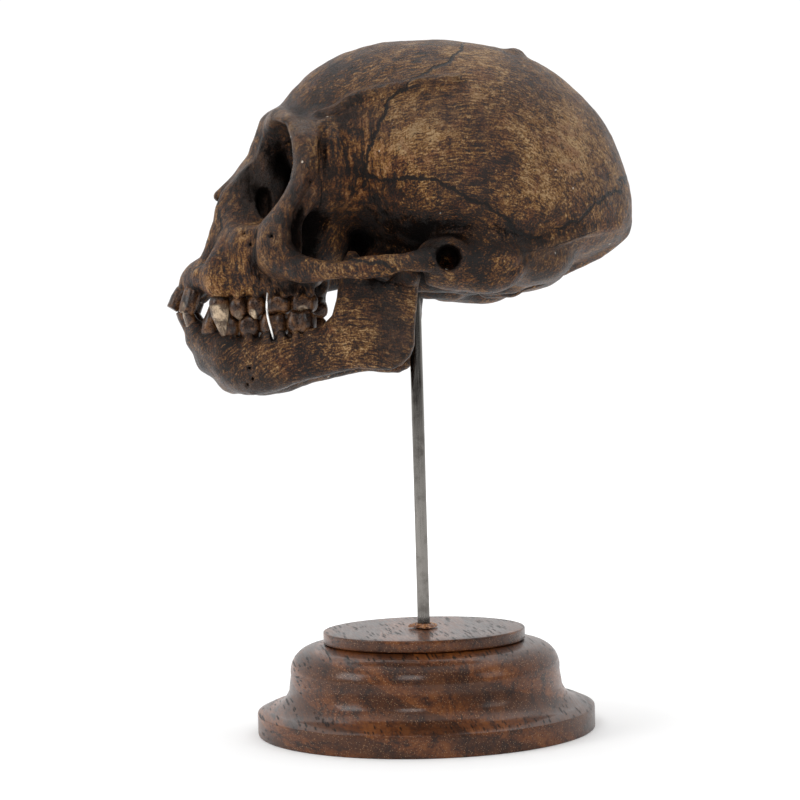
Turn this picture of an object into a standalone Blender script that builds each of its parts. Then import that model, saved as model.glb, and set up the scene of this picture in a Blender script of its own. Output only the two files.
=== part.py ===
"""A vervet monkey's skull on a turned wooden stand, in metres, +Z up.

The origin is the centre of the base's underside. The skull faces -Y, its left side is +X, and a steel
rod stands on the Z axis. Forms are written in millimetres for the left side and mirrored, and become
metres when a mesh is made. Each bone is a pile of simple forms that a voxel remesh melts into one skin,
with its hollows, tooth sockets and drilled holes cut out afterwards.
"""
import math
from dataclasses import dataclass

import bmesh
import bpy
import numpy as np
from mathutils import Matrix, Vector

MM = 0.001
GAP = 0.3

# The stand
BASE_RADIUS = 35.0
BASE_HEIGHT = 20.65
DISC_RADIUS = 21.0
DISC_BOTTOM = 18.2
PLATE_TOP = 4.45
ROD_RADIUS = 1.3
ROD_TOP = 98.5
ROD_FOOT = 9.0
GLUE_RADIUS = 2.9
GLUE_HEIGHT = 0.8
GLUE_SEGMENTS = 18
BASE_SEGMENTS = 32

# The skull
VOXEL = 0.9
SMOOTHING_ROUNDS = 5
# Shares of the triangles that each skin keeps
BRAIN_ROOM_SHARE = 0.022
HOLLOWS_SHARE = 0.032
CRANIUM_SHARE = 0.042
CUT_CRANIUM_SHARE = 0.66
MANDIBLE_SHARE = 0.10
WIRE_RADIUS = 0.26
WIRE_HOLE_RADIUS = 0.62

# Side outlines as (y, z), and half widths as (y, x)
BRAINCASE_CENTRE = (9.0, 111.0)
BRAINCASE_OUTLINE = (
    (45.2, 111.0), (43.7, 116.5), (40.4, 124.2), (33.9, 131.7), (26.7, 137.3), (19.6, 140.2), (10.0, 142.1),
    (1.7, 142.6), (-9.8, 141.6), (-18.7, 138.0), (-25.0, 132.4), (-28.2, 127.0), (-26.0, 119.0), (-20.0, 112.0),
    (-13.0, 104.0), (-6.0, 98.5), (2.0, 95.5), (12.0, 93.2), (21.0, 91.8), (28.0, 92.8), (33.5, 95.4),
    (39.5, 98.0), (43.3, 100.4), (45.1, 103.3), (45.6, 107.5),
)
BRAINCASE_WIDTHS = ((-30, 17.5), (-22, 20.5), (-15, 21.8), (-6, 24.6), (3, 27.2), (12, 28.2), (20, 28.0),
                    (29, 26.4), (37, 24.2), (46, 22.0))
BRAIN_OUTLINE = (
    (42.6, 111.0), (41.0, 116.0), (38.0, 123.2), (32.0, 129.9), (25.3, 135.0), (18.8, 137.6), (9.8, 139.4),
    (1.7, 139.9), (-9.0, 138.9), (-17.0, 135.4), (-21.5, 131.5), (-21.0, 128.4), (-14.0, 125.0), (-7.0, 119.0),
    (-4.0, 110.0), (-1.0, 104.0), (4.0, 101.5), (12.0, 99.0), (21.0, 96.6), (27.0, 97.0), (32.5, 98.8),
    (38.0, 101.2), (41.6, 103.6),
)
BRAIN_WIDTHS = ((-22, 15.5), (-15, 17.5), (-6, 22.0), (3, 24.6), (12, 25.6), (20, 25.4), (29, 23.8), (37, 21.6))

JAW_MIDDLE = ((-44, 5.0), (-41, 8.4), (-36, 11.4), (-30, 13.7), (-22, 16.2), (-15, 19.2), (-8, 21.8), (2, 24.0))
# Stations of the jaw from the chin round to its joint: lower edge, upper edge, half thickness
JAW_STATIONS = (
    ((-40.6, 77.0), (-40.8, 81.4), 2.8), ((-37.4, 72.8), (-38.0, 81.8), 3.0), ((-33.5, 71.2), (-34.0, 81.8), 3.0),
    ((-26.0, 71.9), (-27.0, 81.8), 3.0), ((-20.8, 72.8), (-21.0, 81.8), 2.8), ((-15.1, 74.0), (-18.0, 83.0), 2.5),
    ((-9.0, 74.6), (-16.3, 85.6), 2.1), ((-4.4, 74.7), (-15.4, 89.0), 1.8), ((-1.4, 77.0), (-15.0, 92.0), 1.7),
    ((-0.5, 80.0), (-14.2, 96.0), 1.6), ((0.1, 84.5), (-12.4, 98.2), 1.6), ((0.3, 89.5), (-10.3, 97.2), 1.6),
    ((0.0, 92.6), (-8.2, 92.8), 1.6),
)


@dataclass(frozen=True)
class Tooth:
    """A tooth of the left side: its neck and tip, its size along and across the row, and its row's turn."""

    name: str
    kind: str
    neck: tuple
    tip: tuple
    width: float
    depth: float
    root: float
    turn: float


# Rings from root tip (-1) through neck (0) to crown tip (1): place, share of the width, share of the depth
RINGS = {
    "incisor": ((-1.0, 0.30, 0.34), (-0.02, 0.62, 0.70), (0.06, 0.86, 0.95), (0.55, 1.0, 0.80), (1.0, 0.94, 0.24)),
    "canine": ((-1.0, 0.34, 0.36), (-0.02, 0.76, 0.78), (0.05, 1.0, 1.0), (0.45, 0.86, 0.86), (1.0, 0.16, 0.18)),
    "cheek": ((-1.0, 0.40, 0.40), (-0.02, 0.68, 0.66), (0.08, 0.86, 0.84), (0.50, 1.0, 1.0), (1.0, 0.78, 0.70)),
}
TOOTH_SIDES = 6

UPPER_TEETH = (
    Tooth("upper_incisor_1", "incisor", (2.1, -48.0, 91.4), (2.2, -50.4, 88.6), 3.6, 3.0, 4.6, 86),
    Tooth("upper_incisor_2", "incisor", (5.9, -45.6, 91.2), (6.4, -47.2, 87.5), 3.2, 2.8, 4.4, 62),
    Tooth("upper_canine", "canine", (12.3, -39.2, 89.9), (12.8, -38.8, 82.4), 3.5, 3.1, 5.6, 24),
    Tooth("upper_premolar_1", "cheek", (13.2, -35.2, 89.7), (13.3, -34.9, 85.8), 3.7, 4.4, 4.6, 12),
    Tooth("upper_premolar_2", "cheek", (13.9, -31.2, 89.7), (14.0, -31.4, 85.9), 3.5, 4.8, 4.6, 8),
    Tooth("upper_molar_1", "cheek", (14.4, -26.6, 89.8), (14.6, -26.7, 86.8), 5.1, 5.2, 4.8, 5),
    Tooth("upper_molar_2", "cheek", (14.8, -20.9, 90.3), (15.0, -20.8, 86.9), 5.6, 5.2, 4.8, 3),
)
LOWER_TEETH = (
    Tooth("lower_incisor_1", "incisor", (1.65, -46.9, 84.6), (1.7, -49.0, 88.1), 2.7, 2.6, 5.2, 86),
    Tooth("lower_incisor_2", "incisor", (4.9, -45.7, 84.4), (4.9, -46.9, 87.3), 2.6, 2.5, 5.0, 68),
    Tooth("lower_canine", "canine", (8.6, -42.4, 84.0), (8.9, -42.9, 88.5), 3.0, 2.8, 5.4, 35),
    Tooth("lower_premolar_1", "cheek", (11.1, -37.4, 82.8), (11.4, -36.9, 85.2), 3.8, 3.3, 4.8, 18),
    Tooth("lower_premolar_2", "cheek", (12.7, -33.1, 82.5), (12.8, -33.0, 85.2), 3.6, 3.7, 4.8, 12),
    Tooth("lower_molar_1", "cheek", (14.2, -27.9, 82.4), (14.1, -27.9, 86.1), 5.3, 4.4, 5.0, 12),
    Tooth("lower_molar_2", "cheek", (16.2, -21.8, 82.4), (15.8, -21.6, 86.2), 5.8, 4.6, 5.0, 16),
)

# The wire that ties the jaws, as (x, y, z), from its hole in the upper bone to its hole in the lower
WIRE_ROUTE = ((15.6, -28.9, 91.9), (17.0, -29.0, 90.3), (18.0, -29.1, 88.6), (18.3, -29.1, 86.6),
              (18.1, -28.8, 84.6), (17.4, -28.4, 83.0), (16.9, -28.2, 81.9), (16.2, -28.1, 81.1))

SIDES = (("left", 1.0), ("right", -1.0))


def clear_scene():
    """Remove every object of the scene."""
    for item in list(bpy.data.objects):
        bpy.data.objects.remove(item)


def make_material(name, colour, roughness, metallic=0.0):
    """A plain Principled material."""
    material = bpy.data.materials.new(name)
    material.use_nodes = True
    shader = material.node_tree.nodes["Principled BSDF"]
    shader.inputs["Base Color"].default_value = (*colour, 1.0)
    shader.inputs["Roughness"].default_value = roughness
    shader.inputs["Metallic"].default_value = metallic
    return material


def make_object(name, bm, material):
    """Turn millimetre geometry into a named object in metres."""
    bmesh.ops.recalc_face_normals(bm, faces=bm.faces)
    bmesh.ops.transform(bm, matrix=Matrix.Scale(MM, 4), verts=bm.verts)
    mesh = bpy.data.meshes.new(name)
    bm.to_mesh(mesh)
    bm.free()
    mesh.materials.append(material)
    item = bpy.data.objects.new(name, mesh)
    bpy.context.scene.collection.objects.link(item)
    return item


def make_cutter(name, bm, material):
    """A guide object that only cuts others."""
    cutter = make_object(name, bm, material)
    cutter.hide_render = True
    cutter.display_type = "WIRE"
    return cutter


# Simple forms

def add_ball(bm, centre, radii, pitch=0.0, yaw=0.0):
    """An ellipsoid, turned by yaw degrees about Z and tipped by pitch degrees about X."""
    place = (Matrix.Translation(centre) @ Matrix.Rotation(math.radians(yaw), 4, "Z")
             @ Matrix.Rotation(math.radians(pitch), 4, "X") @ Matrix.Diagonal((*radii, 1.0)))
    bmesh.ops.create_icosphere(bm, subdivisions=4, radius=1.0, matrix=place)


def add_limb(bm, points, thin=1.0, segments=24):
    """A rod through points of (x, y, z, radius), made thin sideways by that share."""
    squeeze = Matrix.Diagonal((thin, 1.0, 1.0, 1.0))
    stops = [(Vector((x / thin, y, z)), radius) for x, y, z, radius in points]
    for place, radius in stops:
        bmesh.ops.create_icosphere(bm, subdivisions=3, radius=radius, matrix=squeeze @ Matrix.Translation(place))
    for (start, start_radius), (end, end_radius) in zip(stops, stops[1:]):
        along = end - start
        turn = along.to_track_quat("Z", "Y").to_matrix().to_4x4()
        bmesh.ops.create_cone(
            bm, cap_ends=True, segments=segments, radius1=start_radius, radius2=end_radius, depth=along.length,
            matrix=squeeze @ Matrix.Translation((start + end) / 2) @ turn)


def add_peg(bm, start, end, radius, segments=12):
    """A straight round peg."""
    start, end = Vector(start), Vector(end)
    turn = (end - start).to_track_quat("Z", "Y").to_matrix().to_4x4()
    bmesh.ops.create_cone(bm, cap_ends=True, segments=segments, radius1=radius, radius2=radius,
                          depth=(end - start).length, matrix=Matrix.Translation((start + end) / 2) @ turn)


def add_dome(bm, outline, widths):
    """A rounded case with the given side outline and half widths: a sphere pulled to fit them."""
    arms = np.array(outline) - BRAINCASE_CENTRE
    angles = np.arctan2(arms[:, 1], arms[:, 0])
    lengths = np.hypot(arms[:, 0], arms[:, 1])
    places, halves = zip(*widths)
    made = bmesh.ops.create_icosphere(bm, subdivisions=5, radius=1.0)
    for vert in made["verts"]:
        side, back, up = vert.co
        level = math.hypot(back, up)
        grow = (level ** 2.3 + abs(side) ** 2.2) ** (-1 / 2.25)
        angle = math.atan2(up, back)
        reach = float(np.interp(angle, angles, lengths, period=2 * math.pi)) * level * grow
        y = BRAINCASE_CENTRE[0] + reach * math.cos(angle)
        z = BRAINCASE_CENTRE[1] + reach * math.sin(angle)
        vert.co = (side * grow * float(np.interp(y, places, halves)), y, z)


def add_jaw_sheet(bm, steps=6):
    """The side of the jaw as a bent sheet between its lower and upper edges."""
    places, middles = zip(*JAW_MIDDLE)
    rows = []
    for low, high, half in JAW_STATIONS:
        row = []
        for step in range(steps + 1):
            share = step / steps
            y = low[0] + (high[0] - low[0]) * share
            z = low[1] + (high[1] - low[1]) * share
            middle = float(np.interp(y, places, middles))
            row.append([bm.verts.new((middle + side * half, y, z)) for side in (-1, 1)])
        rows.append(row)
    for row, after in zip(rows, rows[1:]):
        for step in range(steps):
            for side in (0, 1):
                bm.faces.new((row[step][side], row[step + 1][side], after[step + 1][side], after[step][side]))
        for edge in (0, steps):
            bm.faces.new((row[edge][0], row[edge][1], after[edge][1], after[edge][0]))
    for row in (rows[0], rows[-1]):
        for step in range(steps):
            bm.faces.new((row[step][0], row[step][1], row[step + 1][1], row[step + 1][0]))


# Modifiers

def add_melt(item, share, mirror=True):
    """Mirror the forms, melt them into one skin, smooth it and thin its triangles to a share."""
    if mirror:
        halves = item.modifiers.new("both sides", "MIRROR")
        halves.use_mirror_merge = False
        halves.merge_threshold = 0.0001
    skin = item.modifiers.new("one skin", "REMESH")
    skin.mode = "VOXEL"
    skin.voxel_size = VOXEL * MM
    smooth = item.modifiers.new("smooth", "SMOOTH")
    smooth.factor = 0.5
    smooth.iterations = SMOOTHING_ROUNDS
    add_thinning(item, share)


def add_thinning(item, share):
    """Keep only a share of the triangles."""
    thin = item.modifiers.new("fewer triangles", "DECIMATE")
    thin.ratio = share


def add_cut(item, cutter, shapes_meet=False):
    """Cut one object out of another, also where the cutter's own shapes meet."""
    cut = item.modifiers.new(cutter.name, "BOOLEAN")
    cut.operation = "DIFFERENCE"
    cut.solver = "EXACT"
    cut.use_self = shapes_meet
    cut.object = cutter


# The cranium

def build_face(bm):
    """Muzzle, nose, orbits, cheekbones and the arches behind them."""
    add_ball(bm, (0, -31, 98), (11.6, 12.2, 12))
    add_ball(bm, (0, -43.2, 95.2), (8.4, 5.8, 4.6), pitch=-40)
    nose = ((0, -27.5, 125, 4.6), (0, -31.2, 119, 3.2), (0, -35.2, 114.8, 2.8), (0, -39.8, 111.7, 1.9))
    nose_edge = ((3.4, -31.5, 116, 2.1), (4.8, -36.2, 110, 2.5), (5.6, -38.6, 106, 2.5), (6.2, -39.7, 103, 2.6),
                 (6.4, -42.4, 98.8, 2.7))
    between_eyes = ((0, -29, 120, 3.4), (0, -29, 113, 4.2), (0, -31, 106, 5.0))
    orbit_shell = ((13.4, -17.6, 114.8, 11.4), (11.8, -12.5, 113.6, 9.4), (8.6, -8, 112.5, 6.0))
    orbit_rim = ((0, -26.8, 124.8, 3.0), (7, -27.0, 125.6, 2.7), (14, -25.6, 125.4, 2.5), (19.4, -23.2, 123.2, 2.4),
                 (22.8, -20.6, 119.6, 2.4), (23.8, -19.8, 115, 2.4), (23.5, -21.0, 110.8, 2.5),
                 (22.0, -24.4, 106.6, 2.5), (18.5, -27.8, 103.6, 2.5), (13, -30.4, 102.8, 2.4),
                 (8, -32.2, 104.6, 2.2), (5.0, -32.4, 109, 2.0), (4.4, -31.2, 115, 1.9), (4.8, -29.4, 120, 2.0),
                 (7, -27.2, 125, 2.4))
    pillar = ((21.2, -18.0, 121.5, 2.7), (22.4, -18.6, 117, 2.5), (22.3, -19.2, 112.5, 2.5),
              (22.6, -22.0, 107.5, 2.5), (23.4, -25.0, 102.5, 2.9))
    add_ball(bm, (21.5, -26.0, 99.5), (5.2, 4.0, 6.2), yaw=-30)
    tooth_row = ((0, -46.6, 94.0, 2.5), (4.6, -45.6, 94.0, 2.8), (8.8, -42.8, 93.8, 2.9), (11.8, -39.2, 93.4, 3.4),
                 (13.2, -34, 93.3, 3.3), (14.4, -27, 93.4, 3.4), (14.8, -19.6, 94.2, 3.6))
    canine_swelling = ((10.0, -36.2, 101, 2.0), (11.6, -38.4, 96, 2.5), (12.4, -39.2, 92.9, 2.6))
    for points in (nose, nose_edge, between_eyes, orbit_shell, orbit_rim, pillar, tooth_row, canine_swelling):
        add_limb(bm, points)
    arch = ((16, -29, 98, 3.3), (22.5, -25.4, 96.6, 3.5), (27, -21, 94.4, 2.9), (30.2, -15, 93.7, 2.2),
            (31.2, -8, 94.1, 2.2), (31.4, -1, 94.6, 2.0), (30.2, 3, 95.2, 2.3), (27.5, 7.5, 96.8, 2.4))
    add_limb(bm, arch, thin=0.72)
    add_ball(bm, (0, -27, 95.5), (14, 16, 5.4))
    add_ball(bm, (9, -18, 99), (8.4, 8.4, 9.4))


def build_skull_base(bm):
    """The underside from the palate's rear to the nape, with the ear's bones."""
    add_limb(bm, ((0, -14, 101, 5.2), (0, 0, 96.8, 5.4), (0, 12, 94.0, 4.2)))
    add_limb(bm, ((7.5, -13, 98, 2.4), (7.8, -10.5, 92, 2.0), (7.6, -10.0, 88.0, 1.5)), thin=0.8)
    add_limb(bm, ((9.0, -7, 97, 3.2), (13, 1, 93.6, 3.6), (15.5, 8, 93.2, 3.8)))
    add_ball(bm, (24.0, 6.5, 95.0), (5.0, 6.0, 5.2))
    add_ball(bm, (22, 14.5, 94.4), (5.8, 8.2, 5.6))
    add_ball(bm, (11, 22.5, 95.4), (9.2, 9.6, 4.8))
    add_limb(bm, ((6.8, 15.5, 91.8, 2.6), (7.8, 20.0, 92.2, 2.8)))
    add_limb(bm, ((0, 31, 94.8, 1.6), (0, 38, 98.2, 1.7), (0, 43.2, 102.4, 1.6)))


def build_cranium_hollows(bone):
    """Brain room with its neck opening, orbits, nose, palate, ear canals and temporal hollows."""
    bm = bmesh.new()
    add_dome(bm, BRAIN_OUTLINE, BRAIN_WIDTHS)
    add_limb(bm, ((0, 22.6, 84.0, 7.0), (0, 23.2, 92.0, 6.8), (0, 22.0, 101.0, 6.6)))
    brain_room = make_cutter("brain_room", bm, bone)
    add_melt(brain_room, BRAIN_ROOM_SHARE, mirror=False)

    bm = bmesh.new()
    add_limb(bm, ((15.5, -36, 115.3, 11.0), (13.9, -26, 114.9, 9.8), (12.2, -18, 114.1, 8.0), (9.6, -11, 112.8, 3.9)))
    add_limb(bm, ((0, -49, 104.2, 2.4), (0, -42, 105, 3.0), (0, -38, 105.5, 3.8), (0, -30, 105, 3.0)))
    add_ball(bm, (0, -28.5, 88.0), (9.2, 18, 5.2))
    add_limb(bm, ((0, -3, 92, 3.0), (0, -12, 95.3, 3.8), (0, -20, 97.5, 3.0)))
    add_limb(bm, ((36, 7.8, 96.3, 2.9), (27, 7.2, 95.8, 2.8), (15, 6, 95.4, 2.2)))
    add_limb(bm, ((27.8, -13.2, 116, 2.4), (26.6, -13.2, 107, 4.2), (25.0, -13.0, 99, 5.0), (24.2, -12.6, 90, 5.0)))
    add_ball(bm, (24, -1.2, 92.2), (7.5, 3.6, 3.2))
    hollows = make_cutter("face_hollows", bm, bone)
    add_melt(hollows, HOLLOWS_SHARE)
    return brain_room, hollows


def build_cranium(bone):
    """The upper skull in one piece."""
    bm = bmesh.new()
    add_dome(bm, BRAINCASE_OUTLINE, BRAINCASE_WIDTHS)
    build_face(bm)
    build_skull_base(bm)
    cranium = make_object("cranium", bm, bone)
    add_melt(cranium, CRANIUM_SHARE)
    for cutter in build_cranium_hollows(bone):
        add_cut(cranium, cutter)
    add_thinning(cranium, CUT_CRANIUM_SHARE)
    add_cut(cranium, build_sockets("upper_sockets", UPPER_TEETH, WIRE_ROUTE[0], WIRE_ROUTE[1], bone))
    bm = bmesh.new()
    add_peg(bm, (0, 0, 80.0), (0, 0, ROD_TOP + GAP), ROD_RADIUS + GAP, segments=24)
    add_cut(cranium, make_cutter("rod_socket", bm, bone))
    return cranium


def build_mandible(bone):
    """The lower jaw in one piece, from the chin to its two joints."""
    bm = bmesh.new()
    add_jaw_sheet(bm)
    tooth_row = ((0, -45.4, 82.2, 2.7), (4.4, -44.5, 82.0, 2.8), (8.0, -41.8, 81.0, 2.9), (10.4, -38.4, 79.8, 3.1))
    chin_front = ((0, -42.7, 78.2, 3.5), (4.6, -41.6, 78.0, 3.5), (8.6, -38.4, 77.0, 3.4))
    chin_low = ((0, -38.4, 74.8, 3.6), (5.0, -37.4, 74.6, 3.6), (9.6, -34.4, 74.6, 3.5))
    joint = ((20.5, -0.8, 92.6, 2.0), (23.4, -0.8, 92.8, 2.1), (26.2, -0.4, 92.3, 1.9))
    for points in (tooth_row, chin_front, chin_low, joint):
        add_limb(bm, points)
    mandible = make_object("mandible", bm, bone)
    add_melt(mandible, MANDIBLE_SHARE)
    sockets = build_sockets("lower_sockets", LOWER_TEETH, WIRE_ROUTE[-1], WIRE_ROUTE[-2], bone)
    add_cut(mandible, sockets, shapes_meet=True)
    return mandible


# Teeth

def tooth_frame(tooth, side):
    """The tooth's neck, its axis from neck to tip, and its directions along and across the row."""
    neck = Vector((tooth.neck[0] * side, *tooth.neck[1:]))
    tip = Vector((tooth.tip[0] * side, *tooth.tip[1:]))
    axis = (tip - neck).normalized()
    turn = math.radians(tooth.turn)
    along = Vector((math.sin(turn) * side, math.cos(turn), 0.0))
    along = (along - axis * along.dot(axis)).normalized()
    return neck, axis, along, axis.cross(along), (tip - neck).length


def add_tooth(bm, tooth, side, rings, grow=0.0):
    """Loft a tooth, or the socket around its root, through six-sided rings."""
    neck, axis, along, across, crown = tooth_frame(tooth, side)
    loops = []
    for place, width_share, depth_share in rings:
        centre = neck + axis * (place * (crown if place > 0 else tooth.root))
        loop = []
        for corner in range(TOOTH_SIDES):
            angle = 2 * math.pi * (corner + 0.5) / TOOTH_SIDES
            half_width = tooth.width / 2 * width_share + grow
            half_depth = tooth.depth / 2 * depth_share + grow
            loop.append(bm.verts.new(
                centre + along * half_width * math.cos(angle) + across * half_depth * math.sin(angle)))
        loops.append(loop)
    bm.faces.new(loops[0])
    bm.faces.new(loops[-1])
    for loop, after in zip(loops, loops[1:]):
        for corner in range(TOOTH_SIDES):
            following = (corner + 1) % TOOTH_SIDES
            bm.faces.new((loop[corner], loop[following], after[following], after[corner]))


def build_sockets(name, teeth, wire_end, wire_next, bone):
    """Root sockets of one jaw on both sides, and its two drilled wire holes."""
    bm = bmesh.new()
    for _, side in SIDES:
        for tooth in teeth:
            root, neck_ring = RINGS[tooth.kind][0], RINGS[tooth.kind][1]
            deeper = (-1.0 - GAP / tooth.root, root[1], root[2])
            mouth = (0.30, neck_ring[1], neck_ring[2])
            add_tooth(bm, tooth, side, (deeper, neck_ring, mouth), grow=GAP)
        start, end = (Vector((point[0] * side, *point[1:])) for point in (wire_end, wire_next))
        outward = (end - start).normalized()
        add_peg(bm, start - outward * 0.5, end + outward * 1.0, WIRE_HOLE_RADIUS)
    return make_cutter(name, bm, bone)


def build_teeth(enamel):
    """Every tooth of both jaws and both sides."""
    for side_name, side in SIDES:
        for tooth in UPPER_TEETH + LOWER_TEETH:
            bm = bmesh.new()
            add_tooth(bm, tooth, side, RINGS[tooth.kind])
            make_object(f"{tooth.name}_{side_name}", bm, enamel)


# Metal, wood and glue

def build_wires(steel):
    """One wire on each side, from bone to bone."""
    for side_name, side in SIDES:
        curve = bpy.data.curves.new(f"jaw_wire_{side_name}", "CURVE")
        curve.dimensions = "3D"
        spline = curve.splines.new("POLY")
        spline.points.add(len(WIRE_ROUTE) - 1)
        for point, (x, y, z) in zip(spline.points, WIRE_ROUTE):
            point.co = (x * side * MM, y * MM, z * MM, 1.0)
        curve.bevel_depth = WIRE_RADIUS * MM
        curve.bevel_resolution = 1
        curve.use_fill_caps = True
        curve.materials.append(steel)
        wire = bpy.data.objects.new(f"jaw_wire_{side_name}", curve)
        bpy.context.scene.collection.objects.link(wire)


def build_rod(steel):
    """The upright rod, from its hole in the base to its socket in the skull."""
    bm = bmesh.new()
    add_peg(bm, (0, 0, ROD_FOOT), (0, 0, ROD_TOP), ROD_RADIUS, segments=24)
    return make_object("rod", bm, steel)


def arc(centre, radius, start, end, steps):
    """Points of (radius, height) along a circle's arc, in degrees."""
    angles = [math.radians(start + (end - start) * step / steps) for step in range(steps + 1)]
    return [(centre[0] + radius * math.cos(angle), centre[1] + radius * math.sin(angle)) for angle in angles]


def base_profile():
    """The turned outline from the top's centre down its outer side to the underside's centre."""
    disc = [(0.0, BASE_HEIGHT), (DISC_RADIUS - 0.35, BASE_HEIGHT), (DISC_RADIUS, BASE_HEIGHT - 0.35),
            (DISC_RADIUS, DISC_BOTTOM + 0.2), (DISC_RADIUS - 0.5, DISC_BOTTOM)]
    shoulder = arc((23.0, 12.6), 5.0, 78, -8, 4)
    cove = arc((33.3, 10.4), 5.2, 198, 270, 4)
    plate = [(BASE_RADIUS - 0.5, PLATE_TOP + 0.35), (BASE_RADIUS, PLATE_TOP - 0.1), (BASE_RADIUS, 0.25),
             (BASE_RADIUS - 0.25, 0.0), (0.0, 0.0)]
    return disc + shoulder + cove + plate


def build_base(wood):
    """The turned base, with the rod's hole in its top."""
    bm = bmesh.new()
    verts = [bm.verts.new((radius, 0.0, height)) for radius, height in base_profile()]
    edges = [bm.edges.new(pair) for pair in zip(verts, verts[1:])]
    bmesh.ops.spin(bm, geom=verts + edges, cent=(0, 0, 0), axis=(0, 0, 1), angle=2 * math.pi,
                   steps=BASE_SEGMENTS, use_merge=True)
    bmesh.ops.remove_doubles(bm, verts=bm.verts, dist=0.001)
    base = make_object("base", bm, wood)
    bm = bmesh.new()
    add_peg(bm, (0, 0, ROD_FOOT - GAP), (0, 0, BASE_HEIGHT + 5), ROD_RADIUS + GAP, segments=24)
    add_cut(base, make_cutter("rod_hole", bm, wood))
    return base


def build_glue(resin):
    """The low lumpy ring of old glue round the rod's foot."""
    inner = ROD_RADIUS + GAP
    bm = bmesh.new()
    outer_profile = ((1.0, 0.0), (0.9, 0.55), (0.45, 1.0))
    rings = []
    for step in range(GLUE_SEGMENTS):
        angle = 2 * math.pi * step / GLUE_SEGMENTS
        lump = 1.0 + 0.16 * math.sin(3 * angle + 0.4) + 0.10 * math.sin(7 * angle)
        reaches = [(max(GLUE_RADIUS * share * lump, inner + 0.05), height) for share, height in outer_profile]
        ring = []
        for reach, height in [(inner, 0.0), *reaches, (inner, 0.8)]:
            level = BASE_HEIGHT + GAP + height * GLUE_HEIGHT
            ring.append(bm.verts.new((reach * math.cos(angle), reach * math.sin(angle), level)))
        rings.append(ring)
    for ring, after in zip(rings, rings[1:] + rings[:1]):
        for point in range(len(ring)):
            following = (point + 1) % len(ring)
            bm.faces.new((ring[point], ring[following], after[following], after[point]))
    return make_object("glue", bm, resin)


def main():
    """Build the skull and its stand."""
    clear_scene()
    bone = make_material("stained bone", (0.10, 0.055, 0.03), 0.45)
    enamel = make_material("stained enamel", (0.30, 0.20, 0.12), 0.35)
    steel = make_material("steel", (0.55, 0.55, 0.54), 0.3, metallic=1.0)
    wood = make_material("walnut", (0.12, 0.045, 0.02), 0.4)
    resin = make_material("old glue", (0.35, 0.13, 0.04), 0.5)
    build_cranium(bone)
    build_mandible(bone)
    build_teeth(enamel)
    build_wires(steel)
    build_rod(steel)
    build_glue(resin)
    build_base(wood)


main()
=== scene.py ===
"""The look of a vervet monkey's skull on its turned wooden stand.

Lengths are written in millimetres and become metres when a mesh is made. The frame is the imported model's:
the origin is the centre of the stand's underside, +Z is up, the skull faces -Y and its left side is +X.
Bone is grown from simple forms on a grid, because its organic shape needs that. Teeth, metal, wood and
glue are modelled with Blender's own operators.
"""
import logging
import math
from abc import ABC, abstractmethod
from dataclasses import dataclass, field
from enum import Enum
from typing import Callable, Sequence

import bpy
import numpy as np
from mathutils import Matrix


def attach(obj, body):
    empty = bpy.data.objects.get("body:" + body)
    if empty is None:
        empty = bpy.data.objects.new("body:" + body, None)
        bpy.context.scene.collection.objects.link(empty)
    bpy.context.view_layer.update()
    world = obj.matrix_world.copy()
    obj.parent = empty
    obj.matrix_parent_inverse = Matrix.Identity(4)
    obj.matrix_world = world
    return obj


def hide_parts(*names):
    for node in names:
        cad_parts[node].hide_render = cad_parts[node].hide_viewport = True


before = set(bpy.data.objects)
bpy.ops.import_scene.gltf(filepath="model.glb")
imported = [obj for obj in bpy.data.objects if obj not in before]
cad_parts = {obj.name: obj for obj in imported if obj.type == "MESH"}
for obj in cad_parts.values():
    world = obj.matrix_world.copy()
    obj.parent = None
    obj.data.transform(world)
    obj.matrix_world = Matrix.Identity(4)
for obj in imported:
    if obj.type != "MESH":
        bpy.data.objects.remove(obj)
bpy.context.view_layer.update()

import openvdb as vdb
from mathutils import Matrix, Vector

BODY = "root"
MM = 0.001
CAMERA_AWAY = 394.0
CAMERA_HEIGHT = 69.0

Array = np.ndarray
Point = tuple[float, float, float]
Bead = tuple[float, float, float, float]
Pair = tuple[float, float]
Colour = tuple[float, float, float]
Spot = tuple[float, float, float, float, float, float, float]
Values = dict[str | int, object]

log = logging.getLogger("skull")


class Side(Enum):
    """The two sides of the skull, with the sign of their x."""

    LEFT = 1.0
    RIGHT = -1.0

    @property
    def label(self) -> str:
        """The side's word in a node's name."""
        return self.name.lower()


class Kind(Enum):
    """The four forms that a tooth can have."""

    INCISOR = "incisor"
    CANINE = "canine"
    PREMOLAR = "premolar"
    MOLAR = "molar"


def stain(red: float, green: float, blue: float) -> Colour:
    """Turn a colour as seen, 0 to 255, into the linear light that shaders use.

    Args:
        red, green, blue: the colour's parts as on a screen.
    Returns:
        The same colour in linear light.
    """
    parts = (part / 255 for part in (red, green, blue))
    return tuple(part / 12.92 if part < 0.04045 else ((part + 0.055) / 1.055) ** 2.4 for part in parts)


class Course:
    """A smooth curve of values over places."""

    def __init__(self, pairs: Sequence[Pair]) -> None:
        """Keep the curve's points and find its slopes.

        Args:
            pairs: places in rising order, each with its value.
        """
        self.places = np.array([pair[0] for pair in pairs], float)
        self.values = np.array([pair[1] for pair in pairs], float)
        self.slopes = np.gradient(self.values, self.places)

    def __call__(self, where: Array) -> Array:
        """The value at each place, level beyond both ends."""
        where = np.clip(where, self.places[0], self.places[-1])
        at = np.clip(np.searchsorted(self.places, where) - 1, 0, len(self.places) - 2)
        step = self.places[at + 1] - self.places[at]
        t = (where - self.places[at]) / step
        square, cube = t ** 2, t ** 3
        level = (2 * cube - 3 * square + 1) * self.values[at] + (3 * square - 2 * cube) * self.values[at + 1]
        bend = (cube - 2 * square + t) * self.slopes[at] + (cube - square) * self.slopes[at + 1]
        return level + step * bend


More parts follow.
